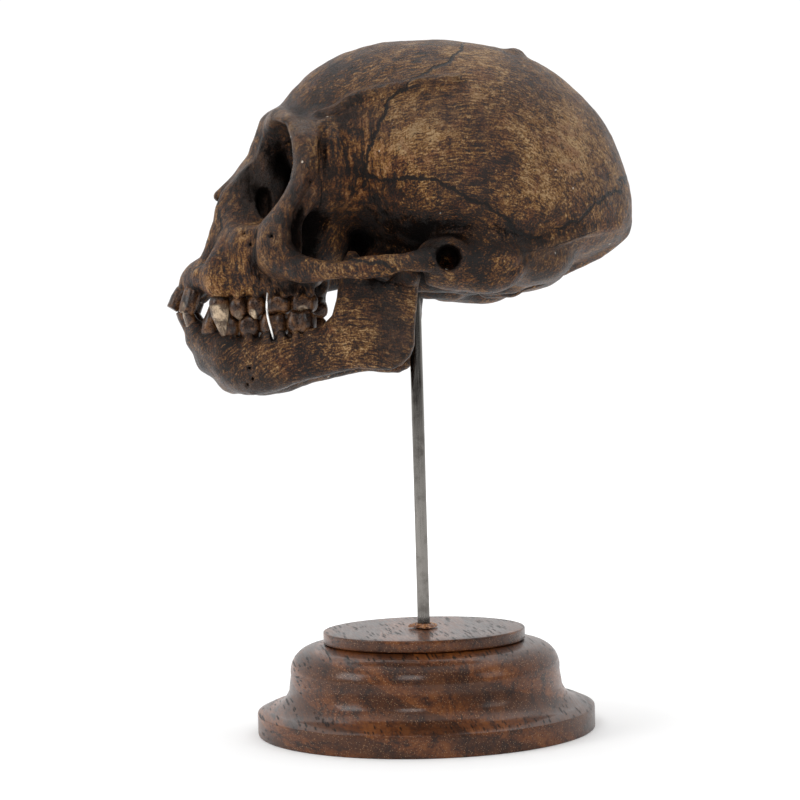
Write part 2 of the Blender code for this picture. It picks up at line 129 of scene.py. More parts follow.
# Clay: forms on a grid

def soft_min(first: Array, second: Array, blend: float) -> Array:
    """The smaller of two fields, rounded over the width of blend where they meet."""
    if blend <= 0:
        return np.minimum(first, second)
    share = np.clip(0.5 + 0.5 * (second - first) / blend, 0, 1)
    return second + (first - second) * share - blend * share * (1 - share)


def soft_max(first: Array, second: Array, blend: float) -> Array:
    """The larger of two fields, rounded over the width of blend where they meet."""
    return -soft_min(-first, -second, blend)


class Form(ABC):
    """A shape of the left side, known by its distance field."""

    @abstractmethod
    def reach(self) -> tuple[Pair, Pair, Pair]:
        """The lowest and highest x, y and z of the form."""

    @abstractmethod
    def distance(self, x: Array, y: Array, z: Array) -> Array:
        """Distance from each point to the form's surface, negative inside."""


@dataclass(frozen=True)
class Ball(Form):
    """An ellipsoid, turned by yaw degrees about Z and tipped by pitch degrees about X."""

    centre: Point
    radii: Point
    pitch: float = 0.0
    yaw: float = 0.0

    def reach(self) -> tuple[Pair, Pair, Pair]:
        """The box round the ball at any turn."""
        longest = max(self.radii)
        return tuple((middle - longest, middle + longest) for middle in self.centre)

    def distance(self, x: Array, y: Array, z: Array) -> Array:
        """Near enough distance to the ellipsoid."""
        x, y, z = x - self.centre[0], y - self.centre[1], z - self.centre[2]
        cosine, sine = math.cos(math.radians(self.yaw)), math.sin(math.radians(self.yaw))
        x, y = x * cosine + y * sine, y * cosine - x * sine
        cosine, sine = math.cos(math.radians(self.pitch)), math.sin(math.radians(self.pitch))
        y, z = y * cosine + z * sine, z * cosine - y * sine
        wide, deep, high = self.radii
        level = np.sqrt((x / wide) ** 2 + (y / deep) ** 2 + (z / high) ** 2)
        steep = np.sqrt((x / wide ** 2) ** 2 + (y / deep ** 2) ** 2 + (z / high ** 2) ** 2)
        return level * (level - 1) / np.maximum(steep, 1e-6)


@dataclass(frozen=True)
class Limb(Form):
    """A rod through beads of (x, y, z, radius), made thin sideways by that share."""

    beads: tuple[Bead, ...]
    thin: float = 1.0

    def reach(self) -> tuple[Pair, Pair, Pair]:
        """The box round the beads."""
        beads = np.array(self.beads)
        widest = beads[:, 3].max()
        return tuple((beads[:, axis].min() - widest, beads[:, axis].max() + widest) for axis in range(3))

    def distance(self, x: Array, y: Array, z: Array) -> Array:
        """Distance to the nearest stretch between two beads."""
        nearest = None
        x = x / self.thin
        for (ax, ay, az, start), (bx, by, bz, end) in zip(self.beads, self.beads[1:]):
            ax, bx = ax / self.thin, bx / self.thin
            dx, dy, dz = bx - ax, by - ay, bz - az
            share = ((x - ax) * dx + (y - ay) * dy + (z - az) * dz) / (dx * dx + dy * dy + dz * dz)
            share = np.clip(share, 0, 1)
            off = (x - ax - share * dx) ** 2 + (y - ay - share * dy) ** 2 + (z - az - share * dz) ** 2
            gap = np.sqrt(off) - (start + share * (end - start))
            nearest = gap if nearest is None else np.minimum(nearest, gap)
        return nearest


class Case(Form):
    """A rounded case with a given side outline, and half widths that follow y."""

    outline_power = 2.3
    width_power = 2.2

    def __init__(self, outline: Sequence[Pair], widths: Sequence[Pair], centre: Pair) -> None:
        """Turn the outline into a reach for each angle about the centre.

        Args:
            outline: points (y, z) round the case.
            widths: half widths as (y, x).
            centre: the point (y, z) from which the outline is measured.
        """
        self.outline = np.array(outline, float)
        self.centre = centre
        self.width = Course(widths)
        arms = self.outline - centre
        angles = np.degrees(np.arctan2(arms[:, 1], arms[:, 0])) % 360
        order = np.argsort(angles)
        angles, lengths = angles[order], np.hypot(arms[:, 0], arms[:, 1])[order]
        lap = 3
        angles = np.concatenate((angles[-lap:] - 360, angles, angles[:lap] + 360))
        lengths = np.concatenate((lengths[-lap:], lengths, lengths[:lap]))
        self.length = Course(list(zip(angles, lengths)))

    def reach(self) -> tuple[Pair, Pair, Pair]:
        """The box round the case."""
        widest = float(self.width.values.max())
        low, high = self.outline.min(axis=0), self.outline.max(axis=0)
        return (-widest, widest), (low[0], high[0]), (low[1], high[1])

    def levels(self, y: Array, z: Array) -> tuple[Array, Array, Array]:
        """How far out each side point is, as a share of the outline, with the case's reach and half width."""
        back, up = y - self.centre[0], z - self.centre[1]
        length = self.length(np.degrees(np.arctan2(up, back)) % 360)
        return np.hypot(back, up) / length, length, self.width(y)

    def distance(self, x: Array, y: Array, z: Array) -> Array:
        """Near enough distance to the case."""
        level, length, width = self.levels(y, z)
        across = np.abs(x) / width
        total = (level ** self.outline_power + across ** self.width_power) ** (1 / self.outline_power)
        total = np.maximum(total, 1e-3)
        steep = np.sqrt((level / total / length) ** 2 + (across / total / width) ** 2)
        return (total - 1) / np.maximum(steep, 1 / 60)

    def side(self, y: float, z: float) -> float:
        """The case's half width at one point of the side view."""
        level, _, width = self.levels(np.array([y]), np.array([z]))
        left = max(1 - min(level[0], 1.0) ** self.outline_power, 0.0)
        return float(width[0] * left ** (1 / self.width_power))

    def seen(self, line: Sequence[Pair], plane: float) -> tuple[Point, ...]:
        """Where a line of the side view lies on the case, as the camera sees it.

        Args:
            line: points (y, z) as measured in an upright plane.
            plane: that plane's x.
        Returns:
            The line's points (x, y, z) on the case's left side.
        """
        made = []
        rounds = 4
        for back, up in line:
            y, z = back, up
            for _ in range(rounds):
                x = self.side(y, z)
                share = (CAMERA_AWAY - x) / (CAMERA_AWAY - plane)
                y, z = back * share, CAMERA_HEIGHT + (up - CAMERA_HEIGHT) * share
            made.append((x, y, z))
        return tuple(made)


@dataclass(frozen=True)
class Sheet(Form):
    """A bent sheet with round edges: a closed side outline of (y, z), its middle and half thickness by y."""

    outline: tuple[Pair, ...]
    middle: Course
    half: Course
    roundness: float = 0.95

    def reach(self) -> tuple[Pair, Pair, Pair]:
        """The box round the sheet."""
        outline = np.array(self.outline)
        far = float(self.middle.values.max() + self.half.values.max())
        low, high = outline.min(axis=0), outline.max(axis=0)
        return (-far, far), (low[0], high[0]), (low[1], high[1])

    def distance(self, x: Array, y: Array, z: Array) -> Array:
        """Distance to a sheet whose edge is a half round."""
        half = self.half(y)
        curve = half * self.roundness
        rim = outline_distance(self.outline, y, z) + curve
        face = np.abs(x - self.middle(y)) - half + curve
        outside = np.hypot(np.maximum(rim, 0), np.maximum(face, 0))
        return np.minimum(np.maximum(rim, face), 0) + outside - curve


def outline_distance(outline: Sequence[Pair], y: Array, z: Array) -> Array:
    """Distance to a closed outline in the side view, negative inside."""
    corners = np.array(outline, float)
    nearest = np.full(np.shape(y), 1e9)
    inside = np.zeros(np.shape(y), bool)
    for (ay, az), (by, bz) in zip(corners, np.roll(corners, -1, axis=0)):
        dy, dz = by - ay, bz - az
        share = np.clip(((y - ay) * dy + (z - az) * dz) / (dy * dy + dz * dz), 0, 1)
        nearest = np.minimum(nearest, (y - ay - share * dy) ** 2 + (z - az - share * dz) ** 2)
        if abs(dz) > 1e-9:
            inside ^= ((az > z) != (bz > z)) & (y < ay + (z - az) * dy / dz)
    return np.where(inside, -np.sqrt(nearest), np.sqrt(nearest))


def between_corners(base: Array, share: Array, read: Callable[[Array], Array]) -> Array:
    """A value inside each point's cell, blended from the cell's eight corners.

    Args:
        base: the cells' first corners.
        share: how far into its cell each point is along each axis.
        read: gives the values at corners.
    Returns:
        A value for each point.
    """
    total = np.zeros(len(base))
    for corner in range(8):
        pick = np.array([corner >> axis & 1 for axis in range(3)])
        total += np.prod(np.where(pick, share, 1 - share), axis=1) * read(base + pick)
    return total


@dataclass
class Clay:
    """A bone as forms added to and cut from each other in turn, each with its own width of blending."""

    low: Point
    high: Point
    pitch: float
    steps: list[tuple[bool, Form, float]] = field(default_factory=list)
    values: Array | None = None
    corner: Array | None = None

    def add(self, shape: Form, blend: float = 2.0) -> None:
        """Add a form."""
        self.steps.append((True, shape, blend))

    def cut(self, shape: Form, blend: float = 1.0) -> None:
        """Cut a form out of what is there so far."""
        self.steps.append((False, shape, blend))

    def settle(self) -> None:
        """Work out the field on the left half of the grid and mirror it."""
        margin, far = 5.0, 30.0
        counts = [math.ceil(self.high[0] / self.pitch)]
        counts += [math.ceil((high - low) / self.pitch) for low, high in zip(self.low[1:], self.high[1:])]
        starts = (0.0, self.low[1], self.low[2])
        axes = [start + np.arange(count + 1) * self.pitch for start, count in zip(starts, counts)]
        values = np.full([len(axis) for axis in axes], far)
        for added, shape, blend in self.steps:
            part = []
            for axis, (low, high) in zip(axes, shape.reach()):
                first, last = np.searchsorted(axis, (low - margin - blend, high + margin + blend))
                part.append(slice(int(first), int(last)))
            places = np.meshgrid(*(axis[span] for axis, span in zip(axes, part)), indexing="ij")
            there, made = values[tuple(part)], shape.distance(*places)
            joined = soft_min(there, made, blend) if added else soft_max(there, -made, blend)
            values[tuple(part)] = joined
        self.values = np.concatenate((values[:0:-1], values)).astype(np.float32)
        self.corner = np.array((-counts[0] * self.pitch, self.low[1], self.low[2]))

    def sample(self, places: Array) -> Array:
        """The settled field at points of (x, y, z), read between the grid's own points."""
        where = (places - self.corner) / self.pitch
        where = np.clip(where, 0, np.array(self.values.shape) - 1.001)
        base = where.astype(int)
        return between_corners(base, where - base, lambda corner: self.values[tuple(corner.T)])

    def snap(self, places: Array) -> Array:
        """Move points on to the surface along the field's slope."""
        places = np.array(places, float)
        reach, rounds, stride = 0.4, 12, 1.5
        for _ in range(rounds):
            slope = np.stack([self.sample(places + reach * step) - self.sample(places - reach * step)
                              for step in np.eye(3)], axis=1)
            slope /= np.linalg.norm(slope, axis=1, keepdims=True) + 1e-6
            places = places - slope * np.clip(self.sample(places), -stride, stride)[:, None]
        return places

    def skin(self, name: str, most: int) -> bpy.types.Object:
        """Make the surface a mesh object of at most that many triangles, in metres.

        Args:
            name: the object's name.
            most: how many triangles it may have.
        Returns:
            The smooth-shaded object.
        """
        band = 3.0 * self.pitch
        grid = vdb.FloatGrid(band)
        grid.copyFromArray(np.clip(self.values, -band, band).astype(np.float32))
        grid.transform = vdb.createLinearTransform(voxelSize=1.0)
        points, quads = grid.convertToQuads(isovalue=0.0)
        points = (points * self.pitch + self.corner) * MM
        mesh = bpy.data.meshes.new(name)
        mesh.from_pydata(points.tolist(), [], quads.tolist())
        bone = bpy.data.objects.new(name, mesh)
        bpy.context.scene.collection.objects.link(bone)
        log.info("%s: %d triangles before thinning", name, 2 * len(quads))
        pick_only(bone)
        if 2 * len(quads) > most:
            thin = bone.modifiers.new("thin", "DECIMATE")
            thin.ratio = most / (2 * len(quads))
            bpy.ops.object.modifier_apply(modifier=thin.name)
        bpy.ops.object.shade_smooth()
        return bone


# Vertex data

def vertex_places(mesh: bpy.types.Mesh) -> Array:
    """Every vertex of a mesh in millimetres."""
    flat = np.empty(len(mesh.vertices) * 3)
    mesh.vertices.foreach_get("co", flat)
    return flat.reshape(-1, 3) / MM


def vertex_normals(mesh: bpy.types.Mesh) -> Array:
    """The normal at every vertex of a mesh."""
    flat = np.empty(len(mesh.vertices) * 3, np.float32)
    mesh.vertex_normals.foreach_get("vector", flat)
    return flat.reshape(-1, 3).astype(float)


def move_vertices(mesh: bpy.types.Mesh, places: Array) -> None:
    """Put a mesh's vertices at places given in millimetres."""
    mesh.vertices.foreach_set("co", (places * MM).ravel())
    mesh.update()


def paint(mesh: bpy.types.Mesh, name: str, values: Array) -> None:
    """Store one number for each vertex, for a material to read."""
    layer = mesh.attributes.new(name, "FLOAT", "POINT")
    layer.data.foreach_set("value", values.astype(np.float32))


def lumps(places: Array, size: float, seed: int) -> Array:
    """Smooth seeded unevenness between -1 and 1.

    Args:
        places: points in millimetres.
        size: how far apart the lumps are.
        seed: which unevenness it is.
    Returns:
        A value for each point.
    """
    where = places / size + 40.0
    base = np.floor(where).astype(int)
    share = where - base
    share = share * share * (3 - 2 * share)
    cells = 97
    grid = np.random.default_rng(seed).uniform(-1, 1, (cells, cells, cells))
    return between_corners(base, share, lambda corner: grid[tuple((corner % cells).T)])


def rough(places: Array, *layers: tuple[float, float, int]) -> Array:
    """The sum of layers of unevenness, each with its height, its size and its seed."""
    return sum(height * lumps(places, size, seed) for height, size, seed in layers)


def ramp(values: Array, low: float, high: float) -> Array:
    """Rise smoothly from 0 at low to 1 at high."""
    share = np.clip((values - low) / (high - low), 0, 1)
    return share * share * (3 - 2 * share)


def spots(places: Array, *rows: Spot) -> Array:
    """The strongest of soft spots at each point of either side.

    Args:
        places: points in millimetres.
        rows: each spot's middle, its reach along each axis and its strength.
    Returns:
        A value for each point.
    """
    mirrored = np.column_stack((np.abs(places[:, 0]), places[:, 1:]))
    total = np.zeros(len(places))
    for *spot, strength in rows:
        level = (((mirrored - spot[:3]) / spot[3:]) ** 2).sum(axis=1)
        total = np.maximum(total, strength * np.exp(-level * 1.2))
    return total


@dataclass(frozen=True)
class Seam:
    """A line on the bone where two bones meet or a crack runs, with how far it wanders from straight."""

    points: tuple[Point, ...]
    wander: float = 0.5
    step: float = 0.9

    def trace(self, clay: Clay, seed: int) -> Array:
        """The jagged line on the surface.

        Args:
            clay: the settled bone.
            seed: which jags it has.
        Returns:
            Points of (x, y, z) along the line.
        """
        made = []
        for start, end in zip(np.array(self.points), np.array(self.points[1:])):
            count = max(int(np.linalg.norm(end - start) / self.step), 1)
            made += [start + (end - start) * share / count for share in range(count)]
        made.append(np.array(self.points[-1]))
        made = np.array(made)
        jag = np.random.default_rng(seed).uniform(-1, 1, made.shape) * self.wander
        jag[::2] *= -1
        return clay.snap(made + jag)


def seam_distances(places: Array, normals: Array, lines: Sequence[Array], far: float = 4.0,
                   ) -> tuple[Array, Array]:
    """How far each vertex is from the nearest line, with and without the sign of its side.

    Args:
        places: the vertices.
        normals: their normals.
        lines: the lines' points.
        far: distances stop growing there.
    Returns:
        The signed distances and the plain ones.
    """
    plain = np.full(len(places), far)
    signed = np.full(len(places), far)
    for line in lines:
        low, high = line.min(axis=0) - far, line.max(axis=0) + far
        near = np.nonzero(((places > low) & (places < high)).all(axis=1))[0]
        here, up = places[near], normals[near]
        best, best_signed = plain[near], signed[near]
        for start, end in zip(line, line[1:]):
            along = end - start
            share = np.clip((here - start) @ along / (along @ along + 1e-9), 0, 1)
            off = here - start - share[:, None] * along
            gap = np.linalg.norm(off, axis=1)
            side = np.sign((np.cross(along, up) * (here - start)).sum(axis=1))
            closer = gap < best
            best = np.where(closer, gap, best)
            best_signed = np.where(closer, gap * side, best_signed)
        plain[near], signed[near] = best, best_signed
    return signed, plain


@dataclass(frozen=True)
class Ridge:
    """A low ridge, or a groove where its height is negative, along a line on the bone."""

    points: tuple[Point, ...]
    height: float
    width: float

    def rise(self, clay: Clay, places: Array, normals: Array) -> Array:
        """How far the ridge lifts each vertex of either side."""
        line = Seam(self.points, wander=0.0, step=1.0).trace(clay, 0)
        _, plain = seam_distances(places, normals, both_sides([line]), far=4 * self.width)
        return self.height * np.exp(-(plain / self.width) ** 2)


def both_sides(lines: Sequence[Array]) -> list[Array]:
    """Each line with its mirror image."""
    return [line * sign for line in lines for sign in (np.array((1, 1, 1)), np.array((-1, 1, 1)))]


def paint_lines(mesh: bpy.types.Mesh, places: Array, normals: Array, kinds: dict[str, list[Array]]) -> None:
    """Paint how far each vertex is from each kind of line, with the sign of its side and without it."""
    for name, lines in kinds.items():
        signed, plain = seam_distances(places, normals, lines)
        paint(mesh, name, signed)
        paint(mesh, name + "_near", plain)


def paint_wear(mesh: bpy.types.Mesh, clay: Clay, places: Array, normals: Array) -> None:
    """Paint how deep in a hollow and how near an edge each vertex is, for painted shade in the hollows and
    for wear and a painted sheen on the edges.

    Args:
        mesh: the bone's mesh.
        clay: its settled field.
        places: its vertices.
        normals: their normals.
    """
    near, wide, inward = 1.6, 4.5, 1.8
    close = 1 - np.clip(clay.sample(places + normals * near) / near, 0, 1)
    open_air = 1 - np.clip(clay.sample(places + normals * wide) / wide, 0, 1)
    # hollow: painted shade, strongest where the open air round a vertex is closed in
    paint(mesh, "hollow", np.clip(0.5 * close + 0.9 * open_air, 0, 1.2))
    # edge: thin convex bone, used for wear and for a painted sheen
    solid = np.clip(-clay.sample(places - normals * inward) / inward, 0, 1)
    paint(mesh, "edge", np.clip((1 - solid) * 1.6 - 0.15, 0, 1))


# Modelling with operators

def pick_only(item: bpy.types.Object) -> None:
    """Select one object and make it active."""
    bpy.ops.object.select_all(action="DESELECT")
    item.select_set(True)
    bpy.context.view_layer.objects.active = item


def new_primitive(name: str, operator: Callable[..., set[str]], **settings: object) -> bpy.types.Object:
    """Add a primitive with nothing else selected, in object mode.

    Args:
        name: the new object's name.
        operator: the operator that adds it.
        settings: the operator's own values.
    Returns:
        The new object.
    """
    bpy.ops.object.select_all(action="DESELECT")
    operator(**settings)
    item = bpy.context.active_object
    item.name = item.data.name = name
    return item


def stack_rings(name: str, sides: int, rings: Sequence[Pair]) -> bpy.types.Object:
    """Turn a round form by drawing one disc up through rings of (radius, height).

    Args:
        name: the object's name.
        sides: how many sides each ring has.
        rings: radius and height in millimetres, from the first ring to the last.
    Returns:
        The object, smooth-shaded where its faces meet at under 40 degrees.
    """
    radius, height = rings[0]
    item = new_primitive(name, bpy.ops.mesh.primitive_circle_add, vertices=sides, radius=radius * MM,
                         fill_type="NGON", location=(0, 0, height * MM))
    bpy.ops.object.transform_apply(location=True, rotation=True, scale=True)
    bpy.ops.object.mode_set(mode="EDIT")
    bpy.ops.mesh.select_all(action="SELECT")
    for (radius, height), (wider, higher) in zip(rings, rings[1:]):
        bpy.ops.mesh.extrude_region_move(
            TRANSFORM_OT_translate={"value": (0, 0, (higher - height) * MM), "orient_type": "GLOBAL"})
        bpy.ops.transform.resize(value=(wider / radius, wider / radius, 1), center_override=(0, 0, 0))
    bpy.ops.mesh.select_all(action="SELECT")
    bpy.ops.mesh.normals_make_consistent(inside=False)
    bpy.ops.object.mode_set(mode="OBJECT")
    bpy.ops.object.shade_smooth_by_angle(angle=math.radians(40))
    return item


def arc(centre: Pair, radius: float, start: float, end: float, steps: int) -> list[Pair]:
    """Points of (radius, height) along a circle's arc, in degrees."""
    angles = [math.radians(start + (end - start) * step / steps) for step in range(steps + 1)]
    return [(centre[0] + radius * math.cos(angle), centre[1] + radius * math.sin(angle)) for angle in angles]


def settle_piece(item: bpy.types.Object, node: str, material: bpy.types.Material) -> None:
    """Give a finished piece its material and body, and hide the CAD part that it stands for."""
    item.data.materials.clear()
    item.data.materials.append(material)
    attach(item, BODY)
    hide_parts(node)
    log.info("%s: %d faces, stands for %s", item.name, len(item.data.polygons), node)


# Shader graphs

def arithmetic(operation: str) -> Callable[["Signal", object], "Signal"]:
    """A method that joins a signal with another value by one step of arithmetic."""
    def join(self: "Signal", other: object) -> "Signal":
        """The signal that the step gives."""
        return self.graph.sum(operation, self, other)
    return join


@dataclass(frozen=True)
class Signal:
    """What a node's socket gives. Arithmetic on it adds nodes."""

    graph: "Graph"
    socket: bpy.types.NodeSocket

    __add__ = arithmetic("ADD")
    __sub__ = arithmetic("SUBTRACT")
    __mul__ = arithmetic("MULTIPLY")
    __truediv__ = arithmetic("DIVIDE")

    def __abs__(self) -> "Signal":
        """The number without its sign."""
        return self.graph.sum("ABSOLUTE", self)


class Graph:
    """A node tree with short ways to add and join nodes."""

    def __init__(self, tree: bpy.types.NodeTree) -> None:
        """Keep the tree."""
        self.tree = tree

    def add(self, kind: str, inputs: Values | None = None, **settings: object) -> bpy.types.Node:
        """Add a node.

        Args:
            kind: the node's type.
            inputs: a value or a signal for each named input.
            settings: the node's own properties.
        Returns:
            The node.
        """
        node = self.tree.nodes.new(kind)
        for name, value in settings.items():
            setattr(node, name, value)
        self.fill(node, inputs or {})
        return node

    def fill(self, node: bpy.types.Node, inputs: Values) -> None:
        """Link a signal to each named input of a node, or set the input's value."""
        for name, value in inputs.items():
            socket = node.inputs[name]
            if isinstance(value, Signal):
                self.tree.links.new(value.socket, socket)
            elif socket.type == "RGBA" and len(value) == 3:
                socket.default_value = (*value, 1.0)
            else:
                socket.default_value = value

    def make(self, kind: str, inputs: Values | None = None, output: str | int = 0,
             **settings: object) -> Signal:
        """Add a node and give the signal of one of its outputs."""
        return Signal(self, self.add(kind, inputs, **settings).outputs[output])

    def sum(self, operation: str, *values: object) -> Signal:
        """One step of arithmetic on numbers."""
        return self.make("ShaderNodeMath", dict(enumerate(values)), operation=operation)

    def total(self, *parts: tuple[object, float]) -> Signal:
        """The sum of numbers, each times its own weight."""
        made = 0.0
        for value, weight in parts:
            made = self.sum("MULTIPLY_ADD", value, weight, made)
        return made

    def vector(self, operation: str, *values: object, output: str | int = 0) -> Signal:
        """One step of arithmetic on vectors."""
        return self.make("ShaderNodeVectorMath", dict(enumerate(values)), output, operation=operation)

    def scale(self, place: object, factor: object) -> Signal:
        """A vector times a number."""
        return self.make("ShaderNodeVectorMath", {0: place, "Scale": factor}, operation="SCALE")

    def turned(self, place: object, angles: Point) -> Signal:
        """A vector turned by angles in degrees about the three axes."""
        return self.make("ShaderNodeMapping", {"Vector": place, "Rotation": tuple(map(math.radians, angles))})

    def parts(self, place: object) -> list[Signal]:
        """The x, y and z of a vector."""
        return [Signal(self, output) for output in self.add("ShaderNodeSeparateXYZ", {0: place}).outputs]

    def join(self, x: object, y: object, z: object) -> Signal:
        """A vector from its x, y and z."""
        return self.make("ShaderNodeCombineXYZ", {0: x, 1: y, 2: z})

    def shaken(self, place: object, scale: float, detail: float, push: float) -> Signal:
        """Places pushed about by noise, by at most half the push along each axis."""
        noise = self.make("ShaderNodeTexNoise", {"Vector": place, "Scale": scale, "Detail": detail}, "Color")
        centred = self.vector("SUBTRACT", noise, (0.5, 0.5, 0.5))
        return self.vector("ADD", place, self.vector("MULTIPLY", centred, (push, push, push)))

    def shades(self, value: object, stops: Sequence[tuple[float, Colour]]) -> Signal:
        """A colour for a number, from stops of place and colour."""
        node = self.add("ShaderNodeValToRGB", {0: value})
        marks = node.color_ramp.elements
        while len(marks) < len(stops):
            marks.new(0.5)
        for mark, (place, colour) in zip(marks, stops):
            mark.position = place
            mark.color = (*colour, 1.0)
        return Signal(self, node.outputs[0])

    def between(self, value: object, low: float, high: float, start: float = 0.0, end: float = 1.0) -> Signal:
        """Carry a number smoothly from the range low to high into start to end."""
        return self.make("ShaderNodeMapRange", {0: value, 1: low, 2: high, 3: start, 4: end},
                         interpolation_type="SMOOTHSTEP")

    def mix(self, share: object, first: object, second: object, blend: str = "MIX") -> Signal:
        """Mix two colours."""
        values = {0: share, 6: first, 7: second}
        return self.make("ShaderNodeMix", values, 2, data_type="RGBA", blend_type=blend)

    def noise(self, place: object, scale: float, detail: float = 4.0, rough: float = 0.6, warp: float = 0.0,
              ) -> Signal:
        """A noise value between 0 and 1."""
        values = {"Vector": place, "Scale": scale, "Detail": detail, "Roughness": rough, "Distortion": warp}
        return self.make("ShaderNodeTexNoise", values)

    def painted(self, name: str) -> Signal:
        """The number that was painted on the vertices under that name."""
        return self.make("ShaderNodeAttribute", None, "Fac", attribute_name=name)

    def bump(self, height: object, strength: float, distance: float) -> Signal:
        """A normal tipped by a relief of that height in millimetres."""
        values = {"Height": height, "Strength": strength, "Distance": distance * MM}
        return self.make("ShaderNodeBump", values)


class Effect(ABC):
    """A shader node group that several materials share, built once."""

    name: str
    inputs: dict[str, str]
    outputs: dict[str, str]

    @classmethod
    def tree(cls) -> bpy.types.NodeTree:
        """The group, made the first time that it is asked for."""
        ready = bpy.data.node_groups.get(cls.name)
        if ready is not None:
            return ready
        tree = bpy.data.node_groups.new(cls.name, "ShaderNodeTree")
        for way, sockets in (("INPUT", cls.inputs), ("OUTPUT", cls.outputs)):
            for name, kind in sockets.items():
                tree.interface.new_socket(name, in_out=way, socket_type="NodeSocket" + kind)
        graph = Graph(tree)
        sources = graph.add("NodeGroupInput").outputs
        graph.add("NodeGroupOutput", cls.build(graph, *(Signal(graph, sources[name]) for name in cls.inputs)))
        return tree

    @classmethod
    def on(cls, graph: Graph, *values: object) -> dict[str, Signal]:
        """Place the group with a value for each of its inputs in order, and give its outputs by name."""
        node = graph.add("ShaderNodeGroup", dict(zip(cls.inputs, values)), node_tree=cls.tree())
        return {output.name: Signal(graph, output) for output in node.outputs}

    @staticmethod
    @abstractmethod
    def build(graph: Graph, *sources: Signal) -> dict[str, Signal]:
        """Build the group's nodes and give the signal for each output."""


class Mottle(Effect):
    """Cloudy staining between a dark, a middle and a light colour, with fine grains in it."""

    name = "cloudy stain"
    inputs = {"Place": "Vector", "Size": "Float", "Dark": "Color", "Middle": "Color", "Light": "Color"}
    outputs = {"Colour": "Color", "Cloud": "Float", "Grain": "Float"}

    @staticmethod
    def build(graph: Graph, place: Signal, size: Signal, dark: Signal, middle: Signal, light: Signal,
              ) -> dict[str, Signal]:
        """Clouds at one size, grains at about a sixth of it."""
        place = graph.scale(place, graph.sum("DIVIDE", 1.0, size))
        cloud = graph.noise(place, 1.0, detail=7, rough=0.62, warp=0.35)
        grain = graph.noise(place, 6.5, detail=4, rough=0.7, warp=0.2)
        level = cloud + (grain - 0.5) * 0.55
        colour = graph.mix(graph.between(level, 0.36, 0.50), dark, middle)
        colour = graph.mix(graph.between(level, 0.49, 0.64), colour, light)
        return {"Colour": colour, "Cloud": cloud, "Grain": grain}


class Strands(Effect):
    """Fine lines drawn out along the first axis of a place."""

    name = "drawn out lines"
    inputs = {"Place": "Vector", "Length": "Float", "Width": "Float"}
    outputs = {"Lines": "Float"}

    @staticmethod
    def build(graph: Graph, place: Signal, length: Signal, width: Signal) -> dict[str, Signal]:
        """Noise on a place that is squeezed along its first axis."""
        x, y, z = graph.parts(place)
        squeezed = graph.join(x / length, y / width, z / width)
        return {"Lines": graph.noise(squeezed, 1.0, detail=3, rough=0.65, warp=0.25)}


class Specks(Effect):
    """Scattered small spots: 1 inside a spot, 0 outside it."""

    name = "scattered spots"
    inputs = {"Place": "Vector", "Spacing": "Float", "Radius": "Float", "Share": "Float"}
    outputs = {"Spots": "Float"}

    @staticmethod
    def build(graph: Graph, place: Signal, spacing: Signal, radius: Signal, share: Signal,
              ) -> dict[str, Signal]:
        """Cells, of which only a share hold a spot, each with a ragged rim."""
        place = graph.scale(place, graph.sum("DIVIDE", 1.0, spacing))
        cells = graph.add("ShaderNodeTexVoronoi", {"Vector": place, "Scale": 1.0}).outputs
        ragged = graph.noise(place, 5.0, detail=3) * 0.30 - 0.15
        spot = graph.between(radius - (Signal(graph, cells["Distance"]) + ragged), 0.0, 0.08)
        lottery = graph.make("ShaderNodeSeparateColor", {0: Signal(graph, cells["Color"])})
        return {"Spots": spot * graph.sum("LESS_THAN", lottery, share)}


class Finish(ABC):
    """A material that a piece wears."""

    name: str
    dark: Colour
    middle: Colour
    light: Colour

    def material(self) -> bpy.types.Material:
        """The finish's material, made the first time that it is asked for."""
        ready = bpy.data.materials.get(self.name)
        if ready is not None:
            return ready
        made = bpy.data.materials.new(self.name)
        made.use_nodes = True
        graph = Graph(made.node_tree)
        place = graph.scale(graph.make("ShaderNodeTexCoord", None, "Object"), 1 / MM)
        graph.fill(made.node_tree.nodes["Principled BSDF"], self.dress(graph, place))
        return made

    def clouds(self, graph: Graph, place: Signal, size: float) -> dict[str, Signal]:
        """Cloudy staining in the finish's own dark, middle and light."""
        return Mottle.on(graph, place, size, self.dark, self.middle, self.light)

    @abstractmethod
    def dress(self, graph: Graph, place: Signal) -> dict[str, object]:
        """The shader's inputs, from places in millimetres."""


